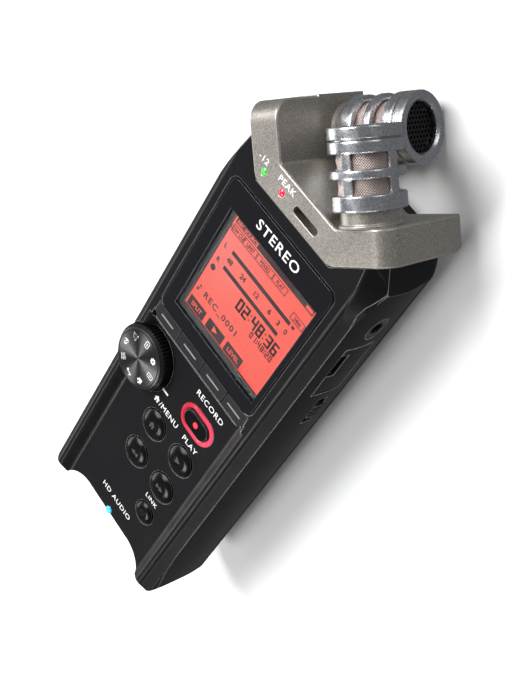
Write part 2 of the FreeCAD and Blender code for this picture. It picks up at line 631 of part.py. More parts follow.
def seat_placement(side, z):
    """Puts a piece drawn along +Z, with +X towards the front, on an arm's seat."""
    along = V(-side / ROOT2, 1 / ROOT2, 0)
    middle_u = CROSSING_Y / ROOT2
    seat_v = SEAT_LINE / ROOT2
    x = side * (middle_u - seat_v) / ROOT2
    y = (middle_u + seat_v) / ROOT2
    turn = FreeCAD.Rotation(UP, along.cross(UP), along, "ZXY")
    return FreeCAD.Placement(V(x, y, z), turn)


def tube(outer, inner, z0, z1):
    return post(outer, 0, 0, z0, z1).cut(post(inner, 0, 0, z0 - 1, z1 + 1))


def capsule_body():
    """Four rings joined by pillars, with two rows of windows."""
    rings = [tube(RING_RADIUS, SLEEVE_RADIUS, z0, z1) for z0, z1 in RINGS]
    for i, ring in enumerate(rings):
        rims = [e for e in ring.Edges if e.Length > 2 * math.pi * (RING_RADIUS - 0.1)]
        rings[i] = ring.makeFillet(0.35, rims)
    core = tube(TUBE_RADIUS, SLEEVE_RADIUS, RINGS[0][0], RINGS[-1][1] - 0.5)
    for z0, z1 in WINDOW_ROWS:
        gaps = post(10, 0, 0, z0, z1)
        for turn in (0, 90):
            pillar = block(-10, 10, -PILLAR_WIDTH / 2, PILLAR_WIDTH / 2, z0, z1)
            pillar.rotate(V(0, 0, 0), UP, turn)
            gaps = gaps.cut(pillar)
        core = core.cut(gaps)
    end = RINGS[-1][1]
    lip = spun([(OPENING_RADIUS, end - 1.6), (SLEEVE_RADIUS + 0.2, end - 1.6),
                (SLEEVE_RADIUS + 0.2, end), (OPENING_RADIUS + 0.55, end), (OPENING_RADIUS, end - 0.6)],
               0, 0)
    return fuse(rings + [core, lip])


def capsule_neck(guard, placement):
    """The boss between the seat and the first ring, with a bead at its foot."""
    neck = spun([(0, 0), (NECK_RADIUS + 0.5, 0), (NECK_RADIUS + 0.5, 0.5), (NECK_RADIUS, 0.8),
                 (NECK_RADIUS, NECK_END - 0.02), (0, NECK_END - 0.02)], 0, 0)
    neck.Placement = placement
    return neck.cut(guard)


def capsule_sleeve():
    return tube(SLEEVE_RADIUS - 0.05, SLEEVE_RADIUS - 0.25, NECK_END, WINDOW_ROWS[-1][1] + 2.2)


def capsule_element():
    """The microphone element inside the sleeve."""
    return post(5.2, 0, 0, NECK_END, RINGS[-1][1] - 2.9)


def capsule_grille():
    """Round black grille with a hexagonal pattern of holes."""
    pitch = 1.2
    radius = OPENING_RADIUS + 0.5
    height = RINGS[-1][1] - 2.3
    wires = [Part.Wire(Part.makeCircle(radius, V(0, 0, height)))]
    for row in range(-6, 7):
        for col in range(-6, 7):
            x = pitch * (col + (row % 2) / 2)
            y = pitch * row * math.sqrt(3) / 2
            if math.hypot(x, y) < OPENING_RADIUS - 0.35:
                wires.append(Part.Wire(Part.makeCircle(0.4, V(x, y, height))))
    face = Part.Face(wires, "Part::FaceMakerBullseye")
    return face.extrude(V(0, 0, 0.5))


# ------------------------------------------------------------------ inside
def main_board():
    return hollow(BOARD_Z - BOARD_THICK, BOARD_Z, 0.4)


def battery_cell(x):
    bottom = CELL_TOP_Y - CELL_LENGTH
    body = rod(CELL_RADIUS, V(x, bottom, CELL_Z), V(x, CELL_TOP_Y - 1.2, CELL_Z))
    tip = rod(2.75, V(x, CELL_TOP_Y - 1.2, CELL_Z), V(x, CELL_TOP_Y, CELL_Z))
    return body.fuse(tip).removeSplitter()


def battery_contacts():
    """Plates at both ends of the cells."""
    pieces = []
    bottom = CELL_TOP_Y - CELL_LENGTH
    for x in (-CELL_X, CELL_X):
        pieces.append(block(x - 4.5, x + 4.5, CELL_TOP_Y + 0.02, CELL_TOP_Y + 0.5, CELL_Z - 4, CELL_Z + 4))
        pieces.append(block(x - 4.5, x + 4.5, bottom - 0.5, bottom - 0.02, CELL_Z - 4, CELL_Z + 4))
    return Part.makeCompound(pieces)


def battery_tray():
    """Walls that hold the cells off the board."""
    top = CELL_TOP_Y + 2.0
    bottom = CELL_TOP_Y - CELL_LENGTH - 2.0
    tray = block(-16.5, 16.5, bottom, top, BACK_Z + WALL + 0.3, CELL_Z + 5)
    inner = block(-15.0, 15.0, bottom + 1.3, top - 1.3, -40, 0)
    return tray.cut(inner)


def jack(side, y, z):
    """Round socket with a flanged sleeve, open to the side."""
    wall = V(side * 25.6, y, z)
    sleeve = rod(3.25, V(side * 19.0, y, z), wall)
    block_body = block(-6, 6, -3.6, 3.6, -3.2, 3.2)
    block_body.translate(V(side * 13.6, y, z))
    socket = sleeve.fuse(block_body)
    socket = socket.cut(rod(JACK_RADIUS, V(side * 12.0, y, z), V(side * 30, y, z)))
    return socket.removeSplitter()


def card_slot():
    socket = block(9.0, INSIDE_X - 0.1, -28.0, -14.4, -13.8, -11.0)
    return socket.cut(block(10.5, 30, -26.7, -15.6, -12.9, -11.9))


def usb_port():
    shell = block(-25.6, -19.5, USB_Y - 3.8, USB_Y + 3.8, USB_Z - 1.4, USB_Z + 1.4)
    shell = shell.cut(block(-30, -20.2, USB_Y - 3.4, USB_Y + 3.4, USB_Z - 1.0, USB_Z + 1.0))
    tongue = block(-24.6, -20.1, USB_Y - 2.2, USB_Y + 2.2, USB_Z - 0.3, USB_Z + 0.3)
    return shell.fuse(tongue).removeSplitter()


def tripod_insert():
    insert = post(4.35, 0, TRIPOD_Y, BACK_Z + 0.05, BACK_Z + TRIPOD_DEPTH)
    return insert.cut(post(TRIPOD_RADIUS, 0, TRIPOD_Y, BACK_Z - 1, BACK_Z + TRIPOD_DEPTH + 1))


def speaker():
    x = SPEAKER_X + 1.5 * SPEAKER_PITCH
    return post(7.0, x, SPEAKER_Y - SPEAKER_PITCH, BACK_Z + WALL + 0.05, BACK_Z + WALL + 3.4)


def screws():
    heads = []
    for x, y in SCREWS:
        head = post(1.7, x, y, BACK_Z + 0.2, BACK_Z + 1.2)
        shank = post(0.9, x, y, BACK_Z + 1.1, BACK_Z + 5.5)
        cross = block(x - 1.0, x + 1.0, y - 0.2, y + 0.2, BACK_Z - 1, BACK_Z + 0.7)
        other = block(x - 0.2, x + 0.2, y - 1.0, y + 1.0, BACK_Z - 1, BACK_Z + 0.7)
        heads.append(head.fuse(shank).cut(cross).cut(other).removeSplitter())
    return Part.makeCompound(heads)


def main():
    os.makedirs("parts", exist_ok=True)
    body = solid_body()
    save("front_shell", front_shell(body))
    save("back_shell", back_shell(body))
    save("battery_door", battery_door(body))
    save("card_door", card_door(body))
    save("power_switch", power_switch())
    save("volume_rocker", volume_rocker())

    save("display_plate", display_plate())
    save("display_window", display_window())
    save("display_frame", display_frame())
    save("display_glass", display_glass())
    save("backlight_panel", backlight_panel())
    for name, left, right in zip(SOFT_KEY_NAMES, SOFT_KEY_CUTS, SOFT_KEY_CUTS[1:]):
        save(name, soft_key(left, right))
    for name, x, y, radius in KEYS:
        save(name, round_key(x, y, radius))
    save("record_ring", record_ring())
    save("record_key", record_key())
    save("key_mat", key_mat())
    save("mode_dial", mode_dial())
    save("dial_encoder", dial_encoder())
    save("status_led", led(0, STATUS_LED_Y, STATUS_LED_RADIUS, -4.0, PANEL_Z + 0.45))

    guard = mic_guard()
    save("mic_guard", guard)
    for name, x in LEDS:
        save(name, led(x, LED_Y, LED_RADIUS, -3.9, GUARD_FRONT_Z + 0.25))
    for side_name, side, z in (("front", 1, FRONT_CAPSULE_Z), ("rear", -1, REAR_CAPSULE_Z)):
        placement = seat_placement(side, z)
        save(side_name + "_capsule_neck", capsule_neck(guard, placement))
        pieces = {"body": capsule_body(), "sleeve": capsule_sleeve(),
                  "element": capsule_element(), "grille": capsule_grille()}
        for piece_name, piece in pieces.items():
            piece.Placement = placement
            save(side_name + "_capsule_" + piece_name, piece)

    save("main_board", main_board())
    save("battery_cell_1", battery_cell(-CELL_X))
    save("battery_cell_2", battery_cell(CELL_X))
    save("battery_contacts", battery_contacts())
    save("battery_tray", battery_tray())
    save("phones_jack", jack(1, *PHONES_JACK))
    save("line_jack", jack(-1, *LINE_JACK))
    save("card_slot", card_slot())
    save("usb_port", usb_port())
    save("tripod_insert", tripod_insert())
    save("speaker", speaker())
    save("case_screws", screws())


main()
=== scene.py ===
import math
import bpy
import bmesh
from mathutils import Matrix, Vector


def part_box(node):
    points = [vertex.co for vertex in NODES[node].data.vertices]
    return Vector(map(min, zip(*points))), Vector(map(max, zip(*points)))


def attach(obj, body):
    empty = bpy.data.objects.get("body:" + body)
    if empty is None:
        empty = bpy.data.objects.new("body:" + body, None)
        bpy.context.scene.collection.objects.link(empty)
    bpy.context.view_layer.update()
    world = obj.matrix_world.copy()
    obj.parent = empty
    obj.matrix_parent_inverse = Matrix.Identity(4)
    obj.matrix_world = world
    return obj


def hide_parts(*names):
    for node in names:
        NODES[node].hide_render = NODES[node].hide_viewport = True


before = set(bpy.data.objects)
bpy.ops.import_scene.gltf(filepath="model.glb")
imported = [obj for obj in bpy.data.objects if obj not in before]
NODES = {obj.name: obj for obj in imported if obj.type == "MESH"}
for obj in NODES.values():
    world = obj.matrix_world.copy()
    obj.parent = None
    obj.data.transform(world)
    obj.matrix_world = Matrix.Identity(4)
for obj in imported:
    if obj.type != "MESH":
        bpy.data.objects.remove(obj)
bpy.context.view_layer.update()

MM = 0.001
UP = Vector((0, 0, 1))

# ---------------------------------------------------------------- places
# Millimetres across, along and above, from the middle of the display plate's upper edge.
# The display plate stands a little above the height that the others are measured from.
PLATE_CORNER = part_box("display_plate")[1]
PLATE_RELIEF = 0.05
FACE_Z = PLATE_CORNER.z / MM - PLATE_RELIEF
TOP_EDGE = PLATE_CORNER.y / MM
PANEL_Z = -2.2                             # the lowered key panel
GUARD_Z = 0.6                              # the guard's face
KEY_TOP = -1.35                            # faces of the round keys
RECORD_TOP = -1.45                         # face of the record key
SOFT_KEY_TOP = 0.2
INK_Z = -1.49                              # on the display's glass

DIAL = (-15.2, -61.0)
RECORD_KEY = (8.0, -61.4)
HOME_KEY, PLAY_KEY = (-2.6, -74.9), (9.8, -74.9)
REWIND_KEY, FORWARD_KEY = (-2.6, -87.3), (9.8, -87.3)
LINK_KEY = (9.8, -99.4)


def at(x, y, z=0.0):
    """A point in metres from millimetres across, along and above."""
    return Vector((x * MM, (y + TOP_EDGE) * MM, (z + FACE_Z) * MM))


def middle(node_name):
    low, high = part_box(node_name)
    return (low + high) / 2


# ---------------------------------------------------------------- camera
CAMERA_AZIMUTH = 150.73
CAMERA_ELEVATION = 44.2
CAMERA_ROLL = 106.37
CAMERA_DISTANCE = 0.26718
CAMERA_LENS = 59.2
LOOK_AT = Vector((0.00729, 0.0117, 0.025))


def make_camera():
    azimuth, elevation, roll = (math.radians(a) for a in
                                (CAMERA_AZIMUTH, CAMERA_ELEVATION, CAMERA_ROLL))
    back = Vector((math.sin(azimuth) * math.cos(elevation),
                   -math.cos(azimuth) * math.cos(elevation), math.sin(elevation)))
    level_right = UP.cross(back).normalized()
    level_up = back.cross(level_right)
    right = level_right * math.cos(roll) - level_up * math.sin(roll)
    up = level_up * math.cos(roll) + level_right * math.sin(roll)
    data = bpy.data.cameras.new("camera")
    data.lens = CAMERA_LENS
    data.clip_start = 0.01
    data.clip_end = 50
    camera = bpy.data.objects.new("camera", data)
    place = Matrix((right, up, back)).transposed().to_4x4()
    place.translation = LOOK_AT + back * CAMERA_DISTANCE
    camera.matrix_world = place
    bpy.context.scene.collection.objects.link(camera)
    bpy.context.scene.camera = camera


make_camera()


# ---------------------------------------------------------------- shader helpers
def link(tree, start, end):
    tree.links.new(start, end)


def node(tree, kind, **values):
    """A shader node with its properties and unlinked sockets set."""
    made = tree.nodes.new(kind)
    for key, value in values.items():
        if hasattr(made, key):
            setattr(made, key, value)
        else:
            made.inputs[key.replace("_", " ")].default_value = value
    return made


def new_group(name, inputs, outputs):
    group = bpy.data.node_groups.new(name, "ShaderNodeTree")
    for label, kind, value in inputs:
        socket = group.interface.new_socket(label, in_out="INPUT", socket_type=kind)
        if value is not None:
            socket.default_value = value
    for label, kind in outputs:
        group.interface.new_socket(label, in_out="OUTPUT", socket_type=kind)
    return group, group.nodes.new("NodeGroupInput"), group.nodes.new("NodeGroupOutput")


FLOAT, VECTOR = "NodeSocketFloat", "NodeSocketVector"
CELL_SHARE = 0.5                            # weight of the grain's cells beside its fine noise
CLOUD_LOW, CLOUD_HIGH = 0.3, 0.7            # the part of the noise that handling marks use
FULL_EDGE = 0.80                            # agreement of rounded and flat normal on a full edge
GRAIN_DEPTH = 0.00003
FLECK_FROM, FLECK_TO = 0.5, 1.0             # grain heights between which a fleck brightens


def grain_group():
    """Fine moulded or blasted grain: a height made of two noises."""
    group, given, result = new_group("fine grain", [("Scale", FLOAT, 9000.0)], [("Height", FLOAT)])
    where = node(group, "ShaderNodeTexCoord")
    fine = node(group, "ShaderNodeTexNoise", Detail=3.0, Roughness=0.6)
    cells = node(group, "ShaderNodeTexVoronoi")
    mixed = node(group, "ShaderNodeMath", operation="MULTIPLY_ADD")
    link(group, where.outputs["Object"], fine.inputs["Vector"])
    link(group, where.outputs["Object"], cells.inputs["Vector"])
    link(group, given.outputs["Scale"], fine.inputs["Scale"])
    link(group, given.outputs["Scale"], cells.inputs["Scale"])
    link(group, cells.outputs["Distance"], mixed.inputs[0])
    mixed.inputs[1].default_value = CELL_SHARE
    link(group, fine.outputs["Fac"], mixed.inputs[2])
    link(group, mixed.outputs[0], result.inputs["Height"])
    return group


def handling_group():
    """Slow changes where hands have touched: a value between Low and High."""
    group, given, result = new_group("handling", [("Scale", FLOAT, 90.0), ("Low", FLOAT, 0.3),
                                                  ("High", FLOAT, 0.5)], [("Value", FLOAT)])
    where = node(group, "ShaderNodeTexCoord")
    clouds = node(group, "ShaderNodeTexNoise", Detail=5.0, Roughness=0.65, Distortion=0.4)
    spread = node(group, "ShaderNodeMapRange")
    spread.inputs["From Min"].default_value = CLOUD_LOW
    spread.inputs["From Max"].default_value = CLOUD_HIGH
    link(group, where.outputs["Object"], clouds.inputs["Vector"])
    link(group, given.outputs["Scale"], clouds.inputs["Scale"])
    link(group, clouds.outputs["Fac"], spread.inputs["Value"])
    link(group, given.outputs["Low"], spread.inputs["To Min"])
    link(group, given.outputs["High"], spread.inputs["To Max"])
    link(group, spread.outputs["Result"], result.inputs["Value"])
    return group


def edge_group():
    """Softened edges: the rounded normal, and a mask that is 1 on the edges, where the finishes lay their
    painted edge highlight.
    """
    group, given, result = new_group("soft edge", [("Radius", FLOAT, 0.0002), ("Start", FLOAT, 0.995)],
                                     [("Normal", VECTOR), ("Mask", FLOAT)])
    bevel = node(group, "ShaderNodeBevel", samples=4)
    flat = node(group, "ShaderNodeNewGeometry")
    both = node(group, "ShaderNodeVectorMath", operation="DOT_PRODUCT")
    mask = node(group, "ShaderNodeMapRange")
    mask.inputs["From Max"].default_value = FULL_EDGE
    link(group, given.outputs["Start"], mask.inputs["From Min"])
    link(group, given.outputs["Radius"], bevel.inputs["Radius"])
    link(group, bevel.outputs["Normal"], both.inputs[0])
    link(group, flat.outputs["Normal"], both.inputs[1])
    link(group, both.outputs["Value"], mask.inputs["Value"])
    link(group, bevel.outputs["Normal"], result.inputs["Normal"])
    link(group, mask.outputs["Result"], result.inputs["Mask"])
    return group


def scratch_group():
    """Hairline marks of a lathe or brush: noise stretched along a piece's own axis."""
    group, given, result = new_group("hairlines", [("Vector", VECTOR, None), ("Scale", FLOAT, 1.0)],
                                     [("Height", FLOAT)])
    lines = node(group, "ShaderNodeTexNoise", Detail=4.0, Roughness=0.7)
    link(group, given.outputs["Vector"], lines.inputs["Vector"])
    link(group, given.outputs["Scale"], lines.inputs["Scale"])
    link(group, lines.outputs["Fac"], result.inputs["Height"])
    return group


GRAIN, HANDLING, EDGE, HAIRLINES = grain_group(), handling_group(), edge_group(), scratch_group()


def place_group(tree, group, **values):
    """A shader group in a material's tree, with its own values."""
    made = tree.nodes.new("ShaderNodeGroup")
    made.node_tree = group
    for key, value in values.items():
        made.inputs[key].default_value = value
    return made


def new_material(name, colour, **sockets):
    """A material with a Principled shader, whose plain values sit on its own sockets."""
    material = bpy.data.materials.new(name)
    material.use_nodes = True
    tree = material.node_tree
    shader = tree.nodes["Principled BSDF"]
    shader.inputs["Base Color"].default_value = (*colour, 1.0)
    for key, value in sockets.items():
        socket = shader.inputs[key.replace("_", " ")]
        if key == "Emission_Color":
            value = (*value, 1.0)
        socket.default_value = value
    material.diffuse_color = (*colour, 1.0)
    return material, tree, shader


def finish_surface(name, colour, rough, edge_highlight=None, grain=9000.0, bump=0.08, radius=0.00018,
                   cloud=90.0, fleck=None, edge_start=0.995, **sockets):
    """Plastic or metal with grain, handling marks and softened edges that carry a painted highlight colour.
    """
    material, tree, shader = new_material(name, colour, **sockets)
    fine = place_group(tree, GRAIN, Scale=grain)
    touched = place_group(tree, HANDLING, Scale=cloud, Low=rough[0], High=rough[1])
    edge = place_group(tree, EDGE, Radius=radius, Start=edge_start)
    raised = node(tree, "ShaderNodeBump", Strength=bump, Distance=GRAIN_DEPTH)
    link(tree, fine.outputs["Height"], raised.inputs["Height"])
    link(tree, edge.outputs["Normal"], raised.inputs["Normal"])
    link(tree, raised.outputs["Normal"], shader.inputs["Normal"])
    link(tree, touched.outputs["Value"], shader.inputs["Roughness"])
    # Painted highlight: the edge mask mixes the edge highlight colour into the base colour along the edges.
    tint = node(tree, "ShaderNodeMix", data_type="RGBA")
    tint.inputs["A"].default_value = (*colour, 1.0)
    tint.inputs["B"].default_value = (*(edge_highlight or colour), 1.0)
    if fleck:
        sparkle = node(tree, "ShaderNodeMix", data_type="RGBA")
        sparkle.inputs["A"].default_value = (*colour, 1.0)
        sparkle.inputs["B"].default_value = (*fleck, 1.0)
        spread = node(tree, "ShaderNodeMapRange")
        spread.inputs["From Min"].default_value = FLECK_FROM
        spread.inputs["From Max"].default_value = FLECK_TO
        link(tree, fine.outputs["Height"], spread.inputs["Value"])
        link(tree, spread.outputs["Result"], sparkle.inputs["Factor"])
        link(tree, sparkle.outputs["Result"], tint.inputs["A"])
    link(tree, edge.outputs["Mask"], tint.inputs["Factor"])
    link(tree, tint.outputs["Result"], shader.inputs["Base Color"])
    return material, tree, shader


def plain_surface(*args, **sockets):
    """The same, where only the material is wanted."""
    return finish_surface(*args, **sockets)[0]


def distance_from(tree, centre, reach):
    """0 at a point in the piece's own space, and 1 at the reach away from it."""
    where = node(tree, "ShaderNodeTexCoord")
    shift = node(tree, "ShaderNodeMapping")
    shift.inputs["Location"].default_value = -centre
    length = node(tree, "ShaderNodeVectorMath", operation="LENGTH")
    share = node(tree, "ShaderNodeMapRange")
    share.inputs["From Max"].default_value = reach
    link(tree, where.outputs["Object"], shift.inputs["Vector"])
    link(tree, shift.outputs["Vector"], length.inputs[0])
    link(tree, length.outputs["Value"], share.inputs["Value"])
    return share.outputs["Result"]


def colour_ramp(tree, factor, first, last, stop=None):
    """A ramp from the first colour to the last, with a (position, colour) stop between them."""
    ramp = node(tree, "ShaderNodeValToRGB")
    ramp.color_ramp.elements[0].color = (*first, 1)
    ramp.color_ramp.elements[1].color = (*last, 1)
    if stop:
        ramp.color_ramp.elements.new(stop[0]).color = (*stop[1], 1)
    link(tree, factor, ramp.inputs["Fac"])
    return ramp.outputs["Color"]


# ---------------------------------------------------------------- materials
# The colour after each finish's roughness range is a painted highlight along its edges; the shell's pale
# one paints the bright seam line.
SHELL = plain_surface("black shell", (0.0075, 0.0075, 0.0083), (0.27, 0.35), (0.52, 0.52, 0.53),
                      grain=7000.0, bump=0.08, radius=0.00036, edge_start=0.93,
                      Specular_IOR_Level=0.11)
CONTROL = plain_surface("side control", (0.012, 0.012, 0.013), (0.34, 0.44), (0.04, 0.04, 0.045))
PLATE = plain_surface("gloss plate", (0.006, 0.006, 0.008), (0.06, 0.12), (0.04, 0.04, 0.045),
                      bump=0.0, radius=0.00012, cloud=60.0, Specular_IOR_Level=0.5)
KEY_CAP = plain_surface("key cap", (0.004, 0.004, 0.0045), (0.16, 0.24), (0.30, 0.30, 0.31),
                        grain=12000.0, bump=0.04, radius=0.00022, Specular_IOR_Level=0.14)
SOFT_KEY = plain_surface("soft key", (0.008, 0.008, 0.009), (0.26, 0.34), (0.04, 0.04, 0.045),
                         grain=12000.0, bump=0.04, radius=0.00015)
DIAL_RIM = plain_surface("dial rim", (0.008, 0.008, 0.009), (0.26, 0.36), (0.04, 0.04, 0.045),
                         grain=12000.0, bump=0.04, radius=0.0001, Specular_IOR_Level=0.3)
FRAME_GREY = plain_surface("display frame", (0.035, 0.042, 0.044), (0.5, 0.6), (0.09, 0.1, 0.1),
                           bump=0.0)
GUARD = plain_surface("satin guard", (0.265, 0.241, 0.212), (0.28, 0.40), (0.85, 0.83, 0.79),
                      grain=2900.0, bump=1.0, radius=0.00035, cloud=45.0, fleck=(0.50, 0.47, 0.425),
                      Metallic=0.8)
CAPSULE = plain_surface("capsule aluminium", (0.46, 0.47, 0.49), (0.20, 0.34), (0.92, 0.93, 0.95),
                        grain=2600.0, bump=0.45, radius=0.0004, cloud=420.0,
                        fleck=(0.78, 0.79, 0.82), Metallic=1.0)
GRILLE = plain_surface("black grille", (0.010, 0.010, 0.011), (0.30, 0.42), (0.05, 0.05, 0.05),
                       bump=0.04, radius=0.00006, Metallic=0.4)
WIRE = plain_surface("rose wire", (0.56, 0.46, 0.43), (0.28, 0.42), (0.7, 0.6, 0.56), bump=0.0,
                     radius=0.00002, Metallic=0.8)
SOCKET = plain_surface("socket plastic", (0.02, 0.02, 0.021), (0.22, 0.34), (0.09, 0.09, 0.09))
BRIGHT = plain_surface("plated contact", (0.72, 0.72, 0.71), (0.16, 0.28), (0.9, 0.9, 0.9), bump=0.05,
                       Metallic=1.0)
BRASS = plain_surface("turned brass", (0.70, 0.50, 0.22), (0.2, 0.32), (0.9, 0.75, 0.45), bump=0.1,
                      Metallic=1.0)
SCREW = plain_surface("black screw", (0.06, 0.06, 0.065), (0.28, 0.4), (0.3, 0.3, 0.3), bump=0.1,
                      Metallic=1.0)
RUBBER = plain_surface("grey rubber", (0.11, 0.11, 0.115), (0.6, 0.75), (0.16, 0.16, 0.16), bump=0.2)
INSIDE = plain_surface("inner plastic", (0.03, 0.03, 0.032), (0.45, 0.6), (0.07, 0.07, 0.07))
PRINT = plain_surface("white print", (0.78, 0.78, 0.77), (0.45, 0.6), (0.8, 0.8, 0.8),
                      grain=14000.0, bump=0.05, radius=0.00001)
GREY_PRINT = plain_surface("grey print", (0.22, 0.22, 0.22), (0.4, 0.5), (0.4, 0.4, 0.4), bump=0.05,
                           radius=0.00002)
INK = plain_surface("display ink", (0.035, 0.022, 0.022), (0.3, 0.4), (0.035, 0.022, 0.022), bump=0.0,
                    radius=0.00001)
KEY_SIGN = plain_surface("pressed sign", (0.05, 0.05, 0.052), (0.3, 0.4), (0.06, 0.06, 0.06), bump=0.0,
                         radius=0.00001)
LINING = plain_surface("sleeve lining", (0.03, 0.022, 0.02), (0.7, 0.8), (0.1, 0.07, 0.065), bump=0.3)

PALE_SPOT = at(-14, -15)                    # where the lit display is palest
PALE_REACH = 0.034
DOT_PITCH = 0.00024                         # of the display's grid
DOT_GAP = 0.12                              # share of the pitch that is the gap between dots


def lit_display():
    """Lit display: orange-red, paler towards the upper left, with a faint grid of dots."""
    material, tree, shader = new_material("lit display", (0.03, 0.005, 0.004), Roughness=0.5,
                                          Emission_Strength=0.95)
    pale = colour_ramp(tree, distance_from(tree, PALE_SPOT, PALE_REACH),
                       (1.0, 0.235, 0.20), (1.0, 0.105, 0.07), (0.45, (1.0, 0.15, 0.11)))
    where = node(tree, "ShaderNodeTexCoord")
    scaled = node(tree, "ShaderNodeVectorMath", operation="SCALE", Scale=1 / DOT_PITCH)
    dots = node(tree, "ShaderNodeVectorMath", operation="FRACTION")
    parts = node(tree, "ShaderNodeSeparateXYZ")
    least = node(tree, "ShaderNodeMath", operation="MINIMUM")
    gap = node(tree, "ShaderNodeMath", operation="LESS_THAN")
    gap.inputs[1].default_value = DOT_GAP
    dim = node(tree, "ShaderNodeMix", data_type="RGBA", blend_type="MULTIPLY")
    dim.inputs["B"].default_value = (0.88, 0.8, 0.8, 1)
    link(tree, where.outputs["Object"], scaled.inputs[0])
    link(tree, scaled.outputs[0], dots.inputs[0])
    link(tree, dots.outputs[0], parts.inputs[0])
    link(tree, parts.outputs["X"], least.inputs[0])
    link(tree, parts.outputs["Y"], least.inputs[1])
    link(tree, least.outputs[0], gap.inputs[0])
    link(tree, gap.outputs[0], dim.inputs["Factor"])
    link(tree, pale, dim.inputs["A"])
    link(tree, dim.outputs["Result"], shader.inputs["Emission Color"])
    return material


def clear_window():
    """Clear cover with faint wipe marks."""
    material, tree, shader = new_material("clear window", (1, 1, 1), Roughness=0.02, IOR=1.03,
                                          Transmission_Weight=1.0, Coat_Weight=0.6, Coat_Roughness=0.04)
    touched = place_group(tree, HANDLING, Scale=70.0, Low=0.01, High=0.05)
    link(tree, touched.outputs["Value"], shader.inputs["Roughness"])
    return material


def glowing(name, core, rim, strength, centre, size):
    """A lit lens: bright in the middle and deeper in colour at its rim. Used on the record key's printed
    dot, it is painted glow.
    """
    material, tree, shader = new_material(name, rim, Roughness=0.2, Coat_Weight=0.5,
                                          Emission_Strength=strength)
    glow = colour_ramp(tree, distance_from(tree, centre, size), core, rim)
    link(tree, glow, shader.inputs["Emission Color"])
    return material


def board_surface():
    """Green solder mask with copper tracks showing through."""
    material, tree, shader = finish_surface("board", (0.01, 0.10, 0.03), (0.3, 0.45), bump=0.05)
    where = node(tree, "ShaderNodeTexCoord")
    tracks = node(tree, "ShaderNodeTexBrick", Scale=260.0, Mortar_Size=0.03)
    tracks.inputs["Color1"].default_value = (0.008, 0.085, 0.028, 1)
    tracks.inputs["Color2"].default_value = (0.010, 0.110, 0.035, 1)
    tracks.inputs["Mortar"].default_value = (0.05, 0.2, 0.06, 1)
    link(tree, where.outputs["Object"], tracks.inputs["Vector"])
    link(tree, tracks.outputs["Color"], shader.inputs["Base Color"])
    return material


PLUS_BAND = 14 * MM                         # length of a cell's coppery band
WRAPPER = (0.03, 0.03, 0.035)


def cell_surface():
    """Printed battery wrapper: dark with a coppery band at the plus end."""
    material, tree, shader = finish_surface("cell wrapper", WRAPPER, (0.2, 0.3), bump=0.03, Metallic=0.6)
    where = node(tree, "ShaderNodeTexCoord")
    parts = node(tree, "ShaderNodeSeparateXYZ")
    band = node(tree, "ShaderNodeMath", operation="GREATER_THAN")
    band.inputs[1].default_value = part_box("battery_cell_1")[1].y - PLUS_BAND
    tint = node(tree, "ShaderNodeMix", data_type="RGBA")
    tint.inputs["A"].default_value = (*WRAPPER, 1)
    tint.inputs["B"].default_value = (0.62, 0.36, 0.16, 1)
    link(tree, where.outputs["Object"], parts.inputs[0])
    link(tree, parts.outputs["Y"], band.inputs[0])
    link(tree, band.outputs[0], tint.inputs["Factor"])
    link(tree, tint.outputs["Result"], shader.inputs["Base Color"])
    return material


def ring_surface():
    """Lit record ring: deep red, turning pink towards its right side."""
    material, tree, shader = new_material("record ring light", (0.30, 0.01, 0.02), Roughness=0.25,
                                          Coat_Weight=0.5, Emission_Strength=0.85)
    low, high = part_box("record_ring")
    where = node(tree, "ShaderNodeTexCoord")
    parts = node(tree, "ShaderNodeSeparateXYZ")
    across = node(tree, "ShaderNodeMapRange")
    across.inputs["From Min"].default_value = low.x
    across.inputs["From Max"].default_value = high.x
    link(tree, where.outputs["Object"], parts.inputs[0])
    link(tree, parts.outputs["X"], across.inputs["Value"])
    glow = colour_ramp(tree, across.outputs["Result"], (0.42, 0.006, 0.03), (0.92, 0.10, 0.18))
    link(tree, glow, shader.inputs["Emission Color"])
    return material


DISPLAY = lit_display()
WINDOW = clear_window()
RECORD_LIGHT = ring_surface()
STATUS_LENS = middle("status_led") + UP * 0.0015
LEVEL_LENS = middle("level_led") + UP * 0.0024
PEAK_LENS = middle("peak_led") + UP * 0.0024
BLUE_LIGHT = glowing("blue light", (0.10, 0.62, 0.95), (0.0, 0.28, 0.80), 1.2, STATUS_LENS, 0.0014)
GREEN_LIGHT = glowing("green light", (0.10, 0.62, 0.09), (0.01, 0.28, 0.02), 0.9, LEVEL_LENS, 0.0012)
RED_LIGHT = glowing("red light", (0.90, 0.05, 0.09), (0.50, 0.0, 0.02), 0.9, PEAK_LENS, 0.0012)
# The record key's printed red dot is given painted glow, as though it were lit.
RECORD_DOT_PAINTED_GLOW = glowing("record dot painted glow", (0.85, 0.08, 0.08), (0.7, 0.03, 0.04), 0.8,
                     at(*RECORD_KEY, RECORD_TOP + 0.05), 0.001)

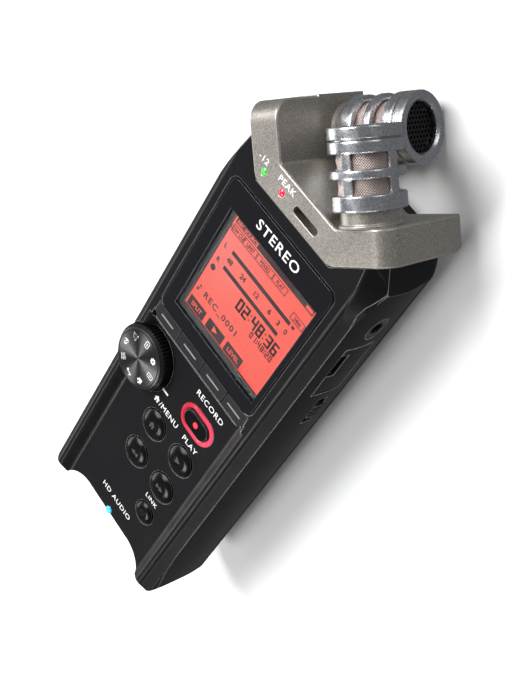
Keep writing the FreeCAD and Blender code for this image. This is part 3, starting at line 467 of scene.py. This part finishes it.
NODE_MATERIALS = {
    "front_shell": SHELL, "back_shell": SHELL, "battery_door": SHELL, "card_door": SHELL,
    "power_switch": CONTROL, "volume_rocker": CONTROL, "display_plate": PLATE,
    "display_window": WINDOW, "display_frame": FRAME_GREY, "display_glass": DISPLAY,
    "backlight_panel": INSIDE, "record_ring": RECORD_LIGHT, "key_mat": RUBBER, "mode_dial": DIAL_RIM,
    "dial_encoder": INSIDE, "status_led": BLUE_LIGHT, "level_led": GREEN_LIGHT,
    "peak_led": RED_LIGHT, "mic_guard": GUARD, "main_board": board_surface(),
    "battery_contacts": BRIGHT, "battery_tray": INSIDE, "phones_jack": SOCKET, "line_jack": SOCKET,
    "card_slot": BRIGHT, "usb_port": BRIGHT, "tripod_insert": BRASS, "speaker": INSIDE,
    "case_screws": SCREW, "record_key": KEY_CAP,
}
ROUND_KEYS = ("home_key", "play_key", "rewind_key", "forward_key", "link_key")
SOFT_KEYS = ("soft_key_1", "soft_key_2", "soft_key_3", "soft_key_4")
NODE_MATERIALS.update({name: KEY_CAP for name in ROUND_KEYS})
NODE_MATERIALS.update({name: SOFT_KEY for name in SOFT_KEYS})
CELL = cell_surface()
NODE_MATERIALS.update({"battery_cell_1": CELL, "battery_cell_2": CELL})
for side in ("front", "rear"):
    NODE_MATERIALS[side + "_capsule_body"] = CAPSULE
    NODE_MATERIALS[side + "_capsule_neck"] = GUARD
    NODE_MATERIALS[side + "_capsule_sleeve"] = WIRE
    NODE_MATERIALS[side + "_capsule_element"] = INSIDE
    NODE_MATERIALS[side + "_capsule_grille"] = GRILLE
for name, material in NODE_MATERIALS.items():
    for slot in NODES[name].material_slots:
        slot.material = material


# ---------------------------------------------------------------- piece helpers
CAP_HEIGHT = 0.73                           # of a capital, as a share of the letters' size
WORD_RELIEF = 0.015                         # half the thickness of a printed word
SIGN_THICK = 0.03
INK_THICK = 0.01
FIELD_THICK = 0.008                         # of the dark fields under light words


def add_piece(name, mesh, material, body):
    """Link a finished mesh as a piece that rides on a body."""
    mesh.materials.clear()
    mesh.materials.append(material)
    piece = bpy.data.objects.new(name, mesh)
    bpy.context.scene.collection.objects.link(piece)
    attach(piece, body)
    return piece


def lettering(text, x, y, z, height, spacing=1.0, width=1.0, bold=0.0, centre=False):
    """A flat word in relief, as a bmesh, with its left end and base line at x, y."""
    curve = bpy.data.curves.new("word", "FONT")
    curve.body = text
    curve.size = height * MM / CAP_HEIGHT
    curve.space_character = spacing
    curve.offset = bold * MM
    curve.extrude = WORD_RELIEF * MM
    curve.resolution_u = 3
    curve.align_x = "CENTER" if centre else "LEFT"
    holder = bpy.data.objects.new("word", curve)
    bpy.context.scene.collection.objects.link(holder)
    bpy.context.view_layer.update()
    evaluated = holder.evaluated_get(bpy.context.evaluated_depsgraph_get())
    mesh = bpy.data.meshes.new_from_object(evaluated)
    bpy.data.objects.remove(holder)
    bpy.data.curves.remove(curve)
    mesh.transform(Matrix.Translation(at(x, y, z)) @ Matrix.Diagonal((width, 1, 1, 1)))
    return mesh


def joined(name, meshes):
    """Several meshes as one."""
    whole = bmesh.new()
    for mesh in meshes:
        whole.from_mesh(mesh)
        bpy.data.meshes.remove(mesh)
    result = bpy.data.meshes.new(name)
    whole.to_mesh(result)
    whole.free()
    return result


def outline_mesh(points, z, thick=SIGN_THICK):
    """A thin plate with the outline of the (x, y) points."""
    made = bmesh.new()
    low = [made.verts.new(at(x, y, z)) for x, y in points]
    high = [made.verts.new(at(x, y, z + thick)) for x, y in points]
    made.faces.new(list(reversed(low)))
    made.faces.new(high)
    for i in range(len(points)):
        j = (i + 1) % len(points)
        made.faces.new((low[i], low[j], high[j], high[i]))
    bmesh.ops.recalc_face_normals(made, faces=made.faces)
    mesh = bpy.data.meshes.new("outline")
    made.to_mesh(mesh)
    made.free()
    return mesh


def bar(x0, x1, y0, y1, z, thick=SIGN_THICK):
    return outline_mesh([(x0, y0), (x1, y0), (x1, y1), (x0, y1)], z, thick)


def circle(x, y, radius, count, start=0.0, turn=360.0):
    """Points along a circle; a part turn has its end point too."""
    steps = [math.radians(start + turn * i / count) for i in range(count + (turn < 360.0))]
    return [(x + radius * math.cos(t), y + radius * math.sin(t)) for t in steps]


def disc(x, y, radius, z, thick=SIGN_THICK, count=28):
    return outline_mesh(circle(x, y, radius, count), z, thick)


def stroke(points, width, z, thick=SIGN_THICK):
    """A line of bars of one width through the points."""
    bars = []
    for start, end in zip(points, points[1:]):
        start, end = Vector(start), Vector(end)
        along = (end - start).normalized() * width / 2
        across = Vector((-along.y, along.x))
        start, end = start - along, end + along
        corners = [start - across, end - across, end + across, start + across]
        bars.append(outline_mesh(corners, z, thick))
    return bars


def turned_about(meshes, x, y, degrees):
    """Turn a glyph drawn upright about its own middle."""
    centre = at(x, y)
    spin = Matrix.Rotation(math.radians(degrees), 4, "Z")
    spin = Matrix.Translation(centre) @ spin @ Matrix.Translation(-centre)
    for mesh in meshes:
        mesh.transform(spin)
    return meshes


# ---------------------------------------------------------------- glyphs
def around(x, y, size, spots):
    """Points given as shares of a glyph's size about its middle."""
    return [(x + a * size, y + b * size) for a, b in spots]


def block(x, y, size, x0, x1, y0, y1, z):
    """A bar between shares of a glyph's size about its middle."""
    return bar(x + x0 * size, x + x1 * size, y + y0 * size, y + y1 * size, z)


def house(x, y, size, z):
    roof = around(x, y, size, [(-0.5, 0), (0.5, 0), (0, 0.52)])
    walls = around(x, y, size, [(-0.34, -0.45), (-0.1, -0.45), (-0.1, -0.1), (0.1, -0.1), (0.1, -0.45),
                                (0.34, -0.45), (0.34, 0.02), (-0.34, 0.02)])
    return [outline_mesh(roof, z), outline_mesh(walls, z)]


def arrow(x, y, size, z, way=1):
    return outline_mesh(around(x, y, size, [(-0.5 * way, -0.5), (0.5 * way, 0), (-0.5 * way, 0.5)]), z)


GEAR_STEPS = 32                             # two for each tooth's top and two for each gap


def gear(x, y, size, z):
    made = bmesh.new()
    top = z + SIGN_THICK
    hole = [made.verts.new(at(a, b, top)) for a, b in circle(x, y, 0.16 * size, GEAR_STEPS)]
    low = circle(x, y, 0.37 * size, GEAR_STEPS)
    high = circle(x, y, 0.5 * size, GEAR_STEPS)
    rim = [made.verts.new(at(*(high if (i // 2) % 2 else low)[i], top)) for i in range(GEAR_STEPS)]
    for i in range(GEAR_STEPS):
        j = (i + 1) % GEAR_STEPS
        made.faces.new((rim[i], rim[j], hole[j], hole[i]))
    mesh = bpy.data.meshes.new("gear")
    made.to_mesh(mesh)
    made.free()
    return [mesh]


def quaver(x, y, size, z):
    tail = around(x, y, size, [(-0.03, -0.35), (-0.03, 0.5), (0.3, 0.2)])
    return [disc(x - 0.2 * size, y - 0.35 * size, 0.2 * size, z)] + stroke(tail, 0.12 * size, z)


def bulb_mic(x, y, size, z):
    cradle = around(x, y, size, [(-0.35, -0.05), (-0.3, -0.4), (0.3, -0.4), (0.35, -0.05)])
    return [disc(x, y + 0.22 * size, 0.26 * size, z),
            block(x, y, size, -0.13, 0.13, -0.35, 0.2, z)] + stroke(cradle, 0.09 * size, z)


def frame_box(x, y, size, z):
    corners = around(x, y, size, [(-0.5, -0.32), (0.5, -0.32), (0.5, 0.32), (-0.5, 0.32), (-0.5, -0.32)])
    return stroke(corners, 0.1 * size, z) + [block(x, y, size, -0.25, 0.25, -0.06, 0.06, z)]


def sliders(x, y, size, z):
    meshes = []
    for a, lift in ((-0.32, 0.15), (0.0, -0.2), (0.32, 0.25)):
        meshes += stroke(around(x, y, size, [(a, -0.45), (a, 0.45)]), 0.08 * size, z)
        meshes.append(block(x, y, size, a - 0.13, a + 0.13, lift - 0.07, lift + 0.07, z))
    return meshes


def waves(x, y, size, z):
    foot = y - 0.4 * size
    meshes = [disc(x, foot, 0.1 * size, z)]
    for radius in (0.35, 0.6, 0.85):
        meshes += stroke(circle(x, foot, radius * size, 8, start=50, turn=80), 0.1 * size, z)
    return meshes


# ---------------------------------------------------------------- printed words and signs
PANEL_PRINT = PANEL_Z + 0.005
GUARD_PRINT = GUARD_Z + 0.005
PLATE_PRINT = PLATE_RELIEF + 0.002
FRONT_WORDS = (
    # word, left end, base line, height above the plate, cap height, spacing, width, boldness
    ("STEREO", -7.4, -4.7, PLATE_PRINT, 2.7, 1.12, 1.12, 0.03),
    ("RECORD", 2.5, -54.8, PANEL_PRINT, 1.75, 1.12, 1.1, 0.01),
    ("PLAY", 6.3, -69.1, PANEL_PRINT, 1.7, 1.1, 1.1, 0.01),
    ("/MENU", -4.8, -69.0, PANEL_PRINT, 1.75, 1.1, 1.08, 0.01),
    ("LINK", 6.9, -94.7, PANEL_PRINT, 1.45, 1.1, 1.1, 0.01),
    ("HD AUDIO", -6.5, -107.6, PANEL_PRINT, 1.7, 1.12, 1.1, 0.01),
    ("-12", -15.9, 8.7, GUARD_PRINT, 1.5, 1.1, 1.15, 0.03),
    ("PEAK", -8.6, 8.7, GUARD_PRINT, 1.6, 1.1, 1.08, 0.035),
)
DIAL_INDEX = (-6.3, -3.9, -64.3, -63.7)     # the white line beside the dial
MENU_HOUSE = (-6.1, -68.1, 2.1)
SOFT_KEY_LINE = (2.55, -45.7, -45.3)        # half length, lower and upper edge


def print_labels():
    words = [lettering(*word) for word in FRONT_WORDS]
    words.append(bar(*DIAL_INDEX, PANEL_PRINT))
    words += house(*MENU_HOUSE, PANEL_PRINT)
    add_piece("printed_labels", joined("printed labels", words), PRINT, "housing")
    half, lower, upper = SOFT_KEY_LINE
    for name in SOFT_KEYS:
        x = middle(name).x / MM
        mark = bar(x - half, x + half, lower, upper, SOFT_KEY_TOP)
        add_piece("line_mark_" + name[-1], mark, GREY_PRINT, name)


def double_arrow(x, y, way):
    return [arrow(x - 0.7, y, 1.5, KEY_TOP, way), arrow(x + 0.7, y, 1.5, KEY_TOP, way)]


def key_signs():
    signs = {
        "home_key": house(*HOME_KEY, 2.2, KEY_TOP),
        "play_key": [arrow(*PLAY_KEY, 1.9, KEY_TOP)],
        "rewind_key": double_arrow(*REWIND_KEY, -1),
        "forward_key": double_arrow(*FORWARD_KEY, 1),
        "link_key": waves(*LINK_KEY, 1.6, KEY_TOP),
    }
    for name, meshes in signs.items():
        add_piece("sign_" + name, joined("sign", meshes), KEY_SIGN, name)
    dot = disc(*RECORD_KEY, 0.85, RECORD_TOP)
    add_piece("record_dot", dot, RECORD_DOT_PAINTED_GLOW, "record_key")


print_labels()
key_signs()


# ---------------------------------------------------------------- mode dial face
HAIRLINE_STRETCH = (3.0, 240.0, 1.0)        # along a ring, across the rings
SPUN_ROUGHNESS = (0.30, 0.44)
SPUN_TINT = (0.07, 0.14)


def dial_material():
    """Black lacquer over spun metal: its highlight is a narrow cone across the face."""
    material, tree, shader = new_material("spun dial face", (0.05, 0.05, 0.052), Roughness=0.3,
                                          Metallic=1.0, Anisotropic=0.93,
                                          Anisotropic_Rotation=0.25)
    tangent = node(tree, "ShaderNodeTangent", direction_type="UV_MAP", uv_map="ring")
    link(tree, tangent.outputs["Tangent"], shader.inputs["Tangent"])
    place = node(tree, "ShaderNodeUVMap", uv_map="ring")
    stretch = node(tree, "ShaderNodeMapping")
    stretch.inputs["Scale"].default_value = HAIRLINE_STRETCH
    lines = place_group(tree, HAIRLINES, Scale=1.0)
    spread = node(tree, "ShaderNodeMapRange")
    spread.inputs["To Min"].default_value, spread.inputs["To Max"].default_value = SPUN_ROUGHNESS
    link(tree, place.outputs["UV"], stretch.inputs["Vector"])
    link(tree, stretch.outputs["Vector"], lines.inputs["Vector"])
    link(tree, lines.outputs["Height"], spread.inputs["Value"])
    link(tree, spread.outputs["Result"], shader.inputs["Roughness"])
    tint = node(tree, "ShaderNodeMapRange")
    tint.inputs["To Min"].default_value, tint.inputs["To Max"].default_value = SPUN_TINT
    link(tree, lines.outputs["Height"], tint.inputs["Value"])
    link(tree, tint.outputs["Result"], shader.inputs["Base Color"])
    return material


FACE_INNER, FACE_OUTER = 0.05, 7.6          # radii of the spun face
FACE_RINGS, FACE_SPOKES = 12, 96
SIGN_CIRCLE = 5.9
SIGN_SIZE = 2.0
FIRST_SIGN, SIGN_STEP = 42, 45              # degrees


def dial_face():
    """A shallow turned disc on the dial, with its rings along U."""
    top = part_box("mode_dial")[1].z / MM - FACE_Z
    made = bmesh.new()
    uv = made.loops.layers.uv.new("ring")
    rows = []
    for j in range(FACE_RINGS + 1):
        radius = FACE_INNER + (FACE_OUTER - FACE_INNER) * j / FACE_RINGS
        rows.append([made.verts.new(at(x, y, top + 0.02)) for x, y in circle(*DIAL, radius, FACE_SPOKES)])
    for j in range(FACE_RINGS):
        for i in range(FACE_SPOKES):
            k = (i + 1) % FACE_SPOKES
            face = made.faces.new((rows[j][i], rows[j + 1][i], rows[j + 1][k], rows[j][k]))
            spots = ((i, j), (i, j + 1), (i + 1, j + 1), (i + 1, j))
            for loop, (a, b) in zip(face.loops, spots):
                loop[uv].uv = (a / FACE_SPOKES, b / (FACE_RINGS + 1))
    bmesh.ops.recalc_face_normals(made, faces=made.faces)
    mesh = bpy.data.meshes.new("dial face")
    made.to_mesh(mesh)
    made.free()
    add_piece("dial_face", mesh, dial_material(), "mode_dial")
    makers = (gear, frame_box, house, quaver, sliders, bulb_mic, waves, frame_box)
    marks = []
    for i, maker in enumerate(makers):
        degrees = FIRST_SIGN - SIGN_STEP * i
        x = DIAL[0] + SIGN_CIRCLE * math.cos(math.radians(degrees))
        y = DIAL[1] + SIGN_CIRCLE * math.sin(math.radians(degrees))
        marks += turned_about(maker(x, y, SIGN_SIZE, top + 0.03), x, y, degrees)
    add_piece("dial_signs", joined("dial signs", marks), PRINT, "mode_dial")


dial_face()


# ---------------------------------------------------------------- what the display shows
# Bars of a seven-bar number, as start and end in shares of its width and height.
SEGMENT_PLACES = {"a": (0, 1, 1, 1), "g": (0, 0.5, 1, 0.5), "d": (0, 0, 1, 0), "f": (0, 0.5, 0, 1),
                  "b": (1, 0.5, 1, 1), "e": (0, 0, 0, 0.5), "c": (1, 0, 1, 0.5)}
SEGMENTS = {"0": "abcdef", "1": "bc", "2": "abged", "3": "abgcd", "4": "fgbc", "5": "afgcd",
            "6": "afgedc", "7": "abc", "8": "abcdefg", "9": "abcdfg"}
COLON_DOT = 0.2
COLON_PITCH = 0.45                          # of a number's pitch


def digit(text, x, y, height, width, weight):
    """A number of seven short bars."""
    bars = []
    for key in SEGMENTS[text]:
        x0, y0, x1, y1 = SEGMENT_PLACES[key]
        ends = [(x + x0 * width, y + y0 * height), (x + x1 * width, y + y1 * height)]
        bars += stroke(ends, weight, INK_Z, INK_THICK)
    return bars


def counter(text, x, y, height, width, weight, pitch):
    """A time counter; a colon is two dots."""
    bars = []
    for sign in text:
        if sign == ":":
            for middle_y in (y + 0.25 * height, y + 0.75 * height):
                bars.append(bar(x - COLON_DOT, x + COLON_DOT, middle_y - COLON_DOT, middle_y + COLON_DOT,
                                INK_Z, INK_THICK))
            x += pitch * COLON_PITCH
        else:
            bars += digit(sign, x, y, height, width, weight)
            x += pitch
    return bars


def framed_word(text, x0, x1, y0, y1):
    """A word in a thin frame."""
    corners = [(x0, y0), (x1, y0), (x1, y1), (x0, y1), (x0, y0)]
    word = lettering(text, (x0 + x1) / 2, y0 + 0.4, INK_Z, y1 - y0 - 0.8, width=0.8, centre=True, bold=0.04)
    return stroke(corners, 0.2, INK_Z, INK_THICK) + [word]


TITLE_FIELD = (-13.3, 16.6, -9.65, -8.1)    # left, right, lower and upper edge
LEVEL_BARS = ((-9.8, 13.2, -16.6, -15.5), (-9.7, 12.1, -21.6, -20.5), (13.9, 14.8, -16.4, -15.6))
SCALE_MARKS = (("48", -9.0), ("24", -3.6), ("12", 1.7), ("6", 7.1), ("3", 10.6), ("0", 13.4))
SCALE_LINE = -19.2
SETTINGS = (("LOW CUT", -13.2, -8.9), ("LIMIT", -8.6, -3.8), ("MIXED", -3.5, 2.7), ("FLAT", 3.0, 8.0))
SETTING_EDGES = (-12.1, -10.2)
SOFT_FIELDS = (-13.4, -5.5, 2.2)            # left edges
SOFT_FIELD_WIDTH = 6.6
SOFT_FIELD_EDGES = (-37.6, -34.5)
SOFT_WORD_LINE = -36.7
REVERSED_Z = INK_Z + 0.02                   # light words on dark fields


def display_content():
    meshes = [bar(*TITLE_FIELD, INK_Z, FIELD_THICK)]
    meshes += [bar(*level, INK_Z, INK_THICK) for level in LEVEL_BARS]
    meshes += [
        disc(-12.2, -23.7, 0.85, INK_Z, INK_THICK),
        lettering("L", -12.7, -17.0, INK_Z, 1.3, bold=0.05),
        lettering("R", -12.7, -21.5, INK_Z, 1.3, bold=0.05),
        lettering("REC_0001", -10.4, -32.0, INK_Z, 1.75, 1.25, 1.12, bold=0.05),
    ]
    for text, x in SCALE_MARKS:
        meshes.append(lettering(text, x, SCALE_LINE, INK_Z, 1.45, centre=True, bold=0.06))
    for text, x0, x1 in SETTINGS:
        meshes += framed_word(text, x0, x1, *SETTING_EDGES)
    meshes += counter("02:48:36", -0.9, -25.9, height=2.9, width=1.35, weight=0.62, pitch=2.36)
    meshes += counter("01:48:20", 6.3, -28.1, height=1.45, width=0.62, weight=0.3, pitch=1.28)
    meshes += quaver(-12.4, -31.2, 1.9, INK_Z)
    meshes += framed_word("24bit", 12.2, 16.6, -14.8, -12.9)
    meshes += [bar(x, x + SOFT_FIELD_WIDTH, *SOFT_FIELD_EDGES, INK_Z, FIELD_THICK) for x in SOFT_FIELDS]
    add_piece("display_ink", joined("display ink", meshes), INK, "housing")
    light = [
        lettering("REC SOURCE", -12.9, -9.4, REVERSED_Z, 1.0, bold=0.04),
        lettering("SPLIT", -10.1, SOFT_WORD_LINE, REVERSED_Z, 1.3, centre=True, bold=0.04),
        lettering("LEVEL", 5.5, SOFT_WORD_LINE, REVERSED_Z, 1.3, centre=True, bold=0.04),
        arrow(-2.2, -36.0, 1.8, REVERSED_Z),
        bar(13.9, 16.1, -9.3, -8.4, REVERSED_Z, INK_THICK),
        bar(16.1, 16.35, -9.05, -8.65, REVERSED_Z, INK_THICK),
    ]
    add_piece("display_reversed", joined("display reversed", light), DISPLAY, "housing")


display_content()


# ---------------------------------------------------------------- wire sleeves
WIRE_SIDES = 4
WIRE_STEPS = 14                             # points along one wire


def sleeve_tree():
    """Two families of helical wires that cross, as a woven tube about the Z axis."""
    tree = bpy.data.node_groups.new("woven sleeve", "GeometryNodeTree")
    face = tree.interface
    for label, kind in (("Radius", FLOAT), ("Height", FLOAT), ("Wires", "NodeSocketInt"), ("Turn", FLOAT),
                        ("Wire Radius", FLOAT), ("Material", "NodeSocketMaterial")):
        face.new_socket(label, in_out="INPUT", socket_type=kind)
    face.new_socket("Geometry", in_out="OUTPUT", socket_type="NodeSocketGeometry")
    given, result = tree.nodes.new("NodeGroupInput"), tree.nodes.new("NodeGroupOutput")
    gather = tree.nodes.new("GeometryNodeJoinGeometry")
    profile = node(tree, "GeometryNodeCurvePrimitiveCircle", Resolution=WIRE_SIDES)
    link(tree, given.outputs["Wire Radius"], profile.inputs["Radius"])
    for hand in (1, -1):
        wire = node(tree, "GeometryNodeCurveSpiral", Resolution=WIRE_STEPS)
        wire.inputs["Reverse"].default_value = hand < 0
        for label in ("Start Radius", "End Radius"):
            link(tree, given.outputs["Radius"], wire.inputs[label])
        link(tree, given.outputs["Height"], wire.inputs["Height"])
        link(tree, given.outputs["Turn"], wire.inputs["Rotations"])
        tube = tree.nodes.new("GeometryNodeCurveToMesh")
        link(tree, wire.outputs["Curve"], tube.inputs["Curve"])
        link(tree, profile.outputs["Curve"], tube.inputs["Profile Curve"])
        points = node(tree, "GeometryNodePoints")
        link(tree, given.outputs["Wires"], points.inputs["Count"])
        index = tree.nodes.new("GeometryNodeInputIndex")
        share = node(tree, "ShaderNodeMath", operation="DIVIDE")
        link(tree, index.outputs[0], share.inputs[0])
        link(tree, given.outputs["Wires"], share.inputs[1])
        angle = node(tree, "ShaderNodeMath", operation="MULTIPLY")
        angle.inputs[1].default_value = 2 * math.pi
        link(tree, share.outputs[0], angle.inputs[0])
        turn = tree.nodes.new("ShaderNodeCombineXYZ")
        link(tree, angle.outputs[0], turn.inputs["Z"])
        copies = tree.nodes.new("GeometryNodeInstanceOnPoints")
        link(tree, points.outputs[0], copies.inputs["Points"])
        link(tree, tube.outputs["Mesh"], copies.inputs["Instance"])
        link(tree, turn.outputs[0], copies.inputs["Rotation"])
        link(tree, copies.outputs["Instances"], gather.inputs[0])
    real = tree.nodes.new("GeometryNodeRealizeInstances")
    paint = tree.nodes.new("GeometryNodeSetMaterial")
    link(tree, gather.outputs[0], real.inputs[0])
    link(tree, real.outputs[0], paint.inputs["Geometry"])
    link(tree, given.outputs["Material"], paint.inputs["Material"])
    link(tree, paint.outputs[0], result.inputs[0])
    return tree


def grown(tree, name, values):
    """The mesh that a Geometry Nodes tree makes from the named values."""
    holder = bpy.data.objects.new(name, bpy.data.meshes.new(name))
    bpy.context.scene.collection.objects.link(holder)
    modifier = holder.modifiers.new("grow", "NODES")
    modifier.node_group = tree
    for item in tree.interface.items_tree:
        if item.item_type == "SOCKET" and item.in_out == "INPUT" and item.name in values:
            modifier[item.identifier] = values[item.name]
    bpy.context.view_layer.update()
    evaluated = holder.evaluated_get(bpy.context.evaluated_depsgraph_get())
    mesh = bpy.data.meshes.new_from_object(evaluated)
    bpy.data.objects.remove(holder)
    return mesh


# Millimetres along a capsule's axis from its seat on the arm.
NECK_END = 3.5                              # the ribbed body and the sleeve start here
SLEEVE_END = 17.6
BODY_END = 20.95
SLEEVE_LENGTH = (SLEEVE_END - NECK_END) * MM
LINING_RADIUS = 6.2 * MM
SLEEVE_VALUES = {"Radius": 6.42 * MM, "Height": SLEEVE_LENGTH, "Wires": 72, "Turn": 0.32,
                 "Wire Radius": 0.1 * MM, "Material": WIRE}


def capsule_place(side_name):
    """Turns a piece drawn along +Z from the capsule's seat onto the capsule's own axis."""
    side = 1 if side_name == "front" else -1
    along = Vector((-side, 1, 0)).normalized()
    half_body = (BODY_END - NECK_END) * MM / 2
    foot = middle(side_name + "_capsule_body") - along * (half_body + NECK_END * MM)
    return Matrix.Translation(foot) @ Matrix((UP, along.cross(UP), along)).transposed().to_4x4()


def sleeve_lining():
    """The dark cloth drum behind the wires."""
    drum = bmesh.new()
    bmesh.ops.create_cone(drum, segments=48, radius1=LINING_RADIUS, radius2=LINING_RADIUS, cap_ends=True,
                          depth=SLEEVE_LENGTH)
    mesh = bpy.data.meshes.new("lining")
    drum.to_mesh(mesh)
    drum.free()
    return mesh


def wire_sleeves():
    tree = sleeve_tree()
    for side_name in ("front", "rear"):
        place = capsule_place(side_name)
        mesh = grown(tree, "woven sleeve", SLEEVE_VALUES)
        mesh.transform(place @ Matrix.Translation((0, 0, NECK_END * MM)))
        piece = add_piece(side_name + "_wire_sleeve", mesh, WIRE, "housing")
        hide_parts(side_name + "_capsule_sleeve")
        inner = sleeve_lining()
        inner.transform(place @ Matrix.Translation((0, 0, (SLEEVE_END + NECK_END) / 2 * MM)))
        add_piece(side_name + "_sleeve_lining", inner, LINING, "housing")


wire_sleeves()


# ---------------------------------------------------------------- floor and light
FLOOR_HALF = 3.0


def make_floor():
    """A pale floor that the glossy finishes don't mirror, so the dark sides stay dark."""
    half = FLOOR_HALF
    mesh = bpy.data.meshes.new("floor")
    mesh.from_pydata([(-half, -half, 0), (half, -half, 0), (half, half, 0), (-half, half, 0)], [],
                     [(0, 1, 2, 3)])
    floor = bpy.data.objects.new("floor", mesh)
    bpy.context.scene.collection.objects.link(floor)
    material, tree, shader = new_material("pale floor", (0.9, 0.9, 0.9), Roughness=0.8)
    shade = place_group(tree, HANDLING, Scale=3.0, Low=0.75, High=0.85)
    link(tree, shade.outputs["Value"], shader.inputs["Roughness"])
    mesh.materials.append(material)
    floor.visible_glossy = False


LIT_POINT = Vector((0, 0, 0.02))            # every light looks at it


def area_light(name, place, size, power):
    data = bpy.data.lights.new(name, "AREA")
    data.shape = "RECTANGLE"
    data.size, data.size_y = size
    data.energy = power
    light = bpy.data.objects.new(name, data)
    light.location = place
    light.rotation_mode = "QUATERNION"
    light.rotation_quaternion = (LIT_POINT - Vector(place)).to_track_quat("-Z", "Y")
    bpy.context.scene.collection.objects.link(light)


SOFTBOXES = (
    # name, place, width and height in metres, watts
    ("overhead softbox", (-1.15, 0.50, 1.9), (1.3, 1.3), 76.0),
    ("tall softbox on the left", (-1.05, -0.72, 0.38), (0.9, 0.62), 5.0),
    ("lower softbox", (0.10, -0.85, 1.05), (0.45, 0.45), 9.0),
    ("low strip on the right", (1.05, -0.75, 0.24), (0.9, 0.12), 3.0),
    ("softbox below the camera", (0.15, 1.15, 0.34), (0.8, 0.5), 2.0),
)


def make_light():
    world = bpy.data.worlds.new("studio")
    world.use_nodes = True
    sky = world.node_tree.nodes["Background"]
    sky.inputs["Color"].default_value = (0.95, 0.97, 1.0, 1)
    sky.inputs["Strength"].default_value = 0.18
    bpy.context.scene.world = world
    for softbox in SOFTBOXES:
        area_light(*softbox)


make_floor()
make_light()
bpy.context.scene.view_settings.view_transform = "Standard"
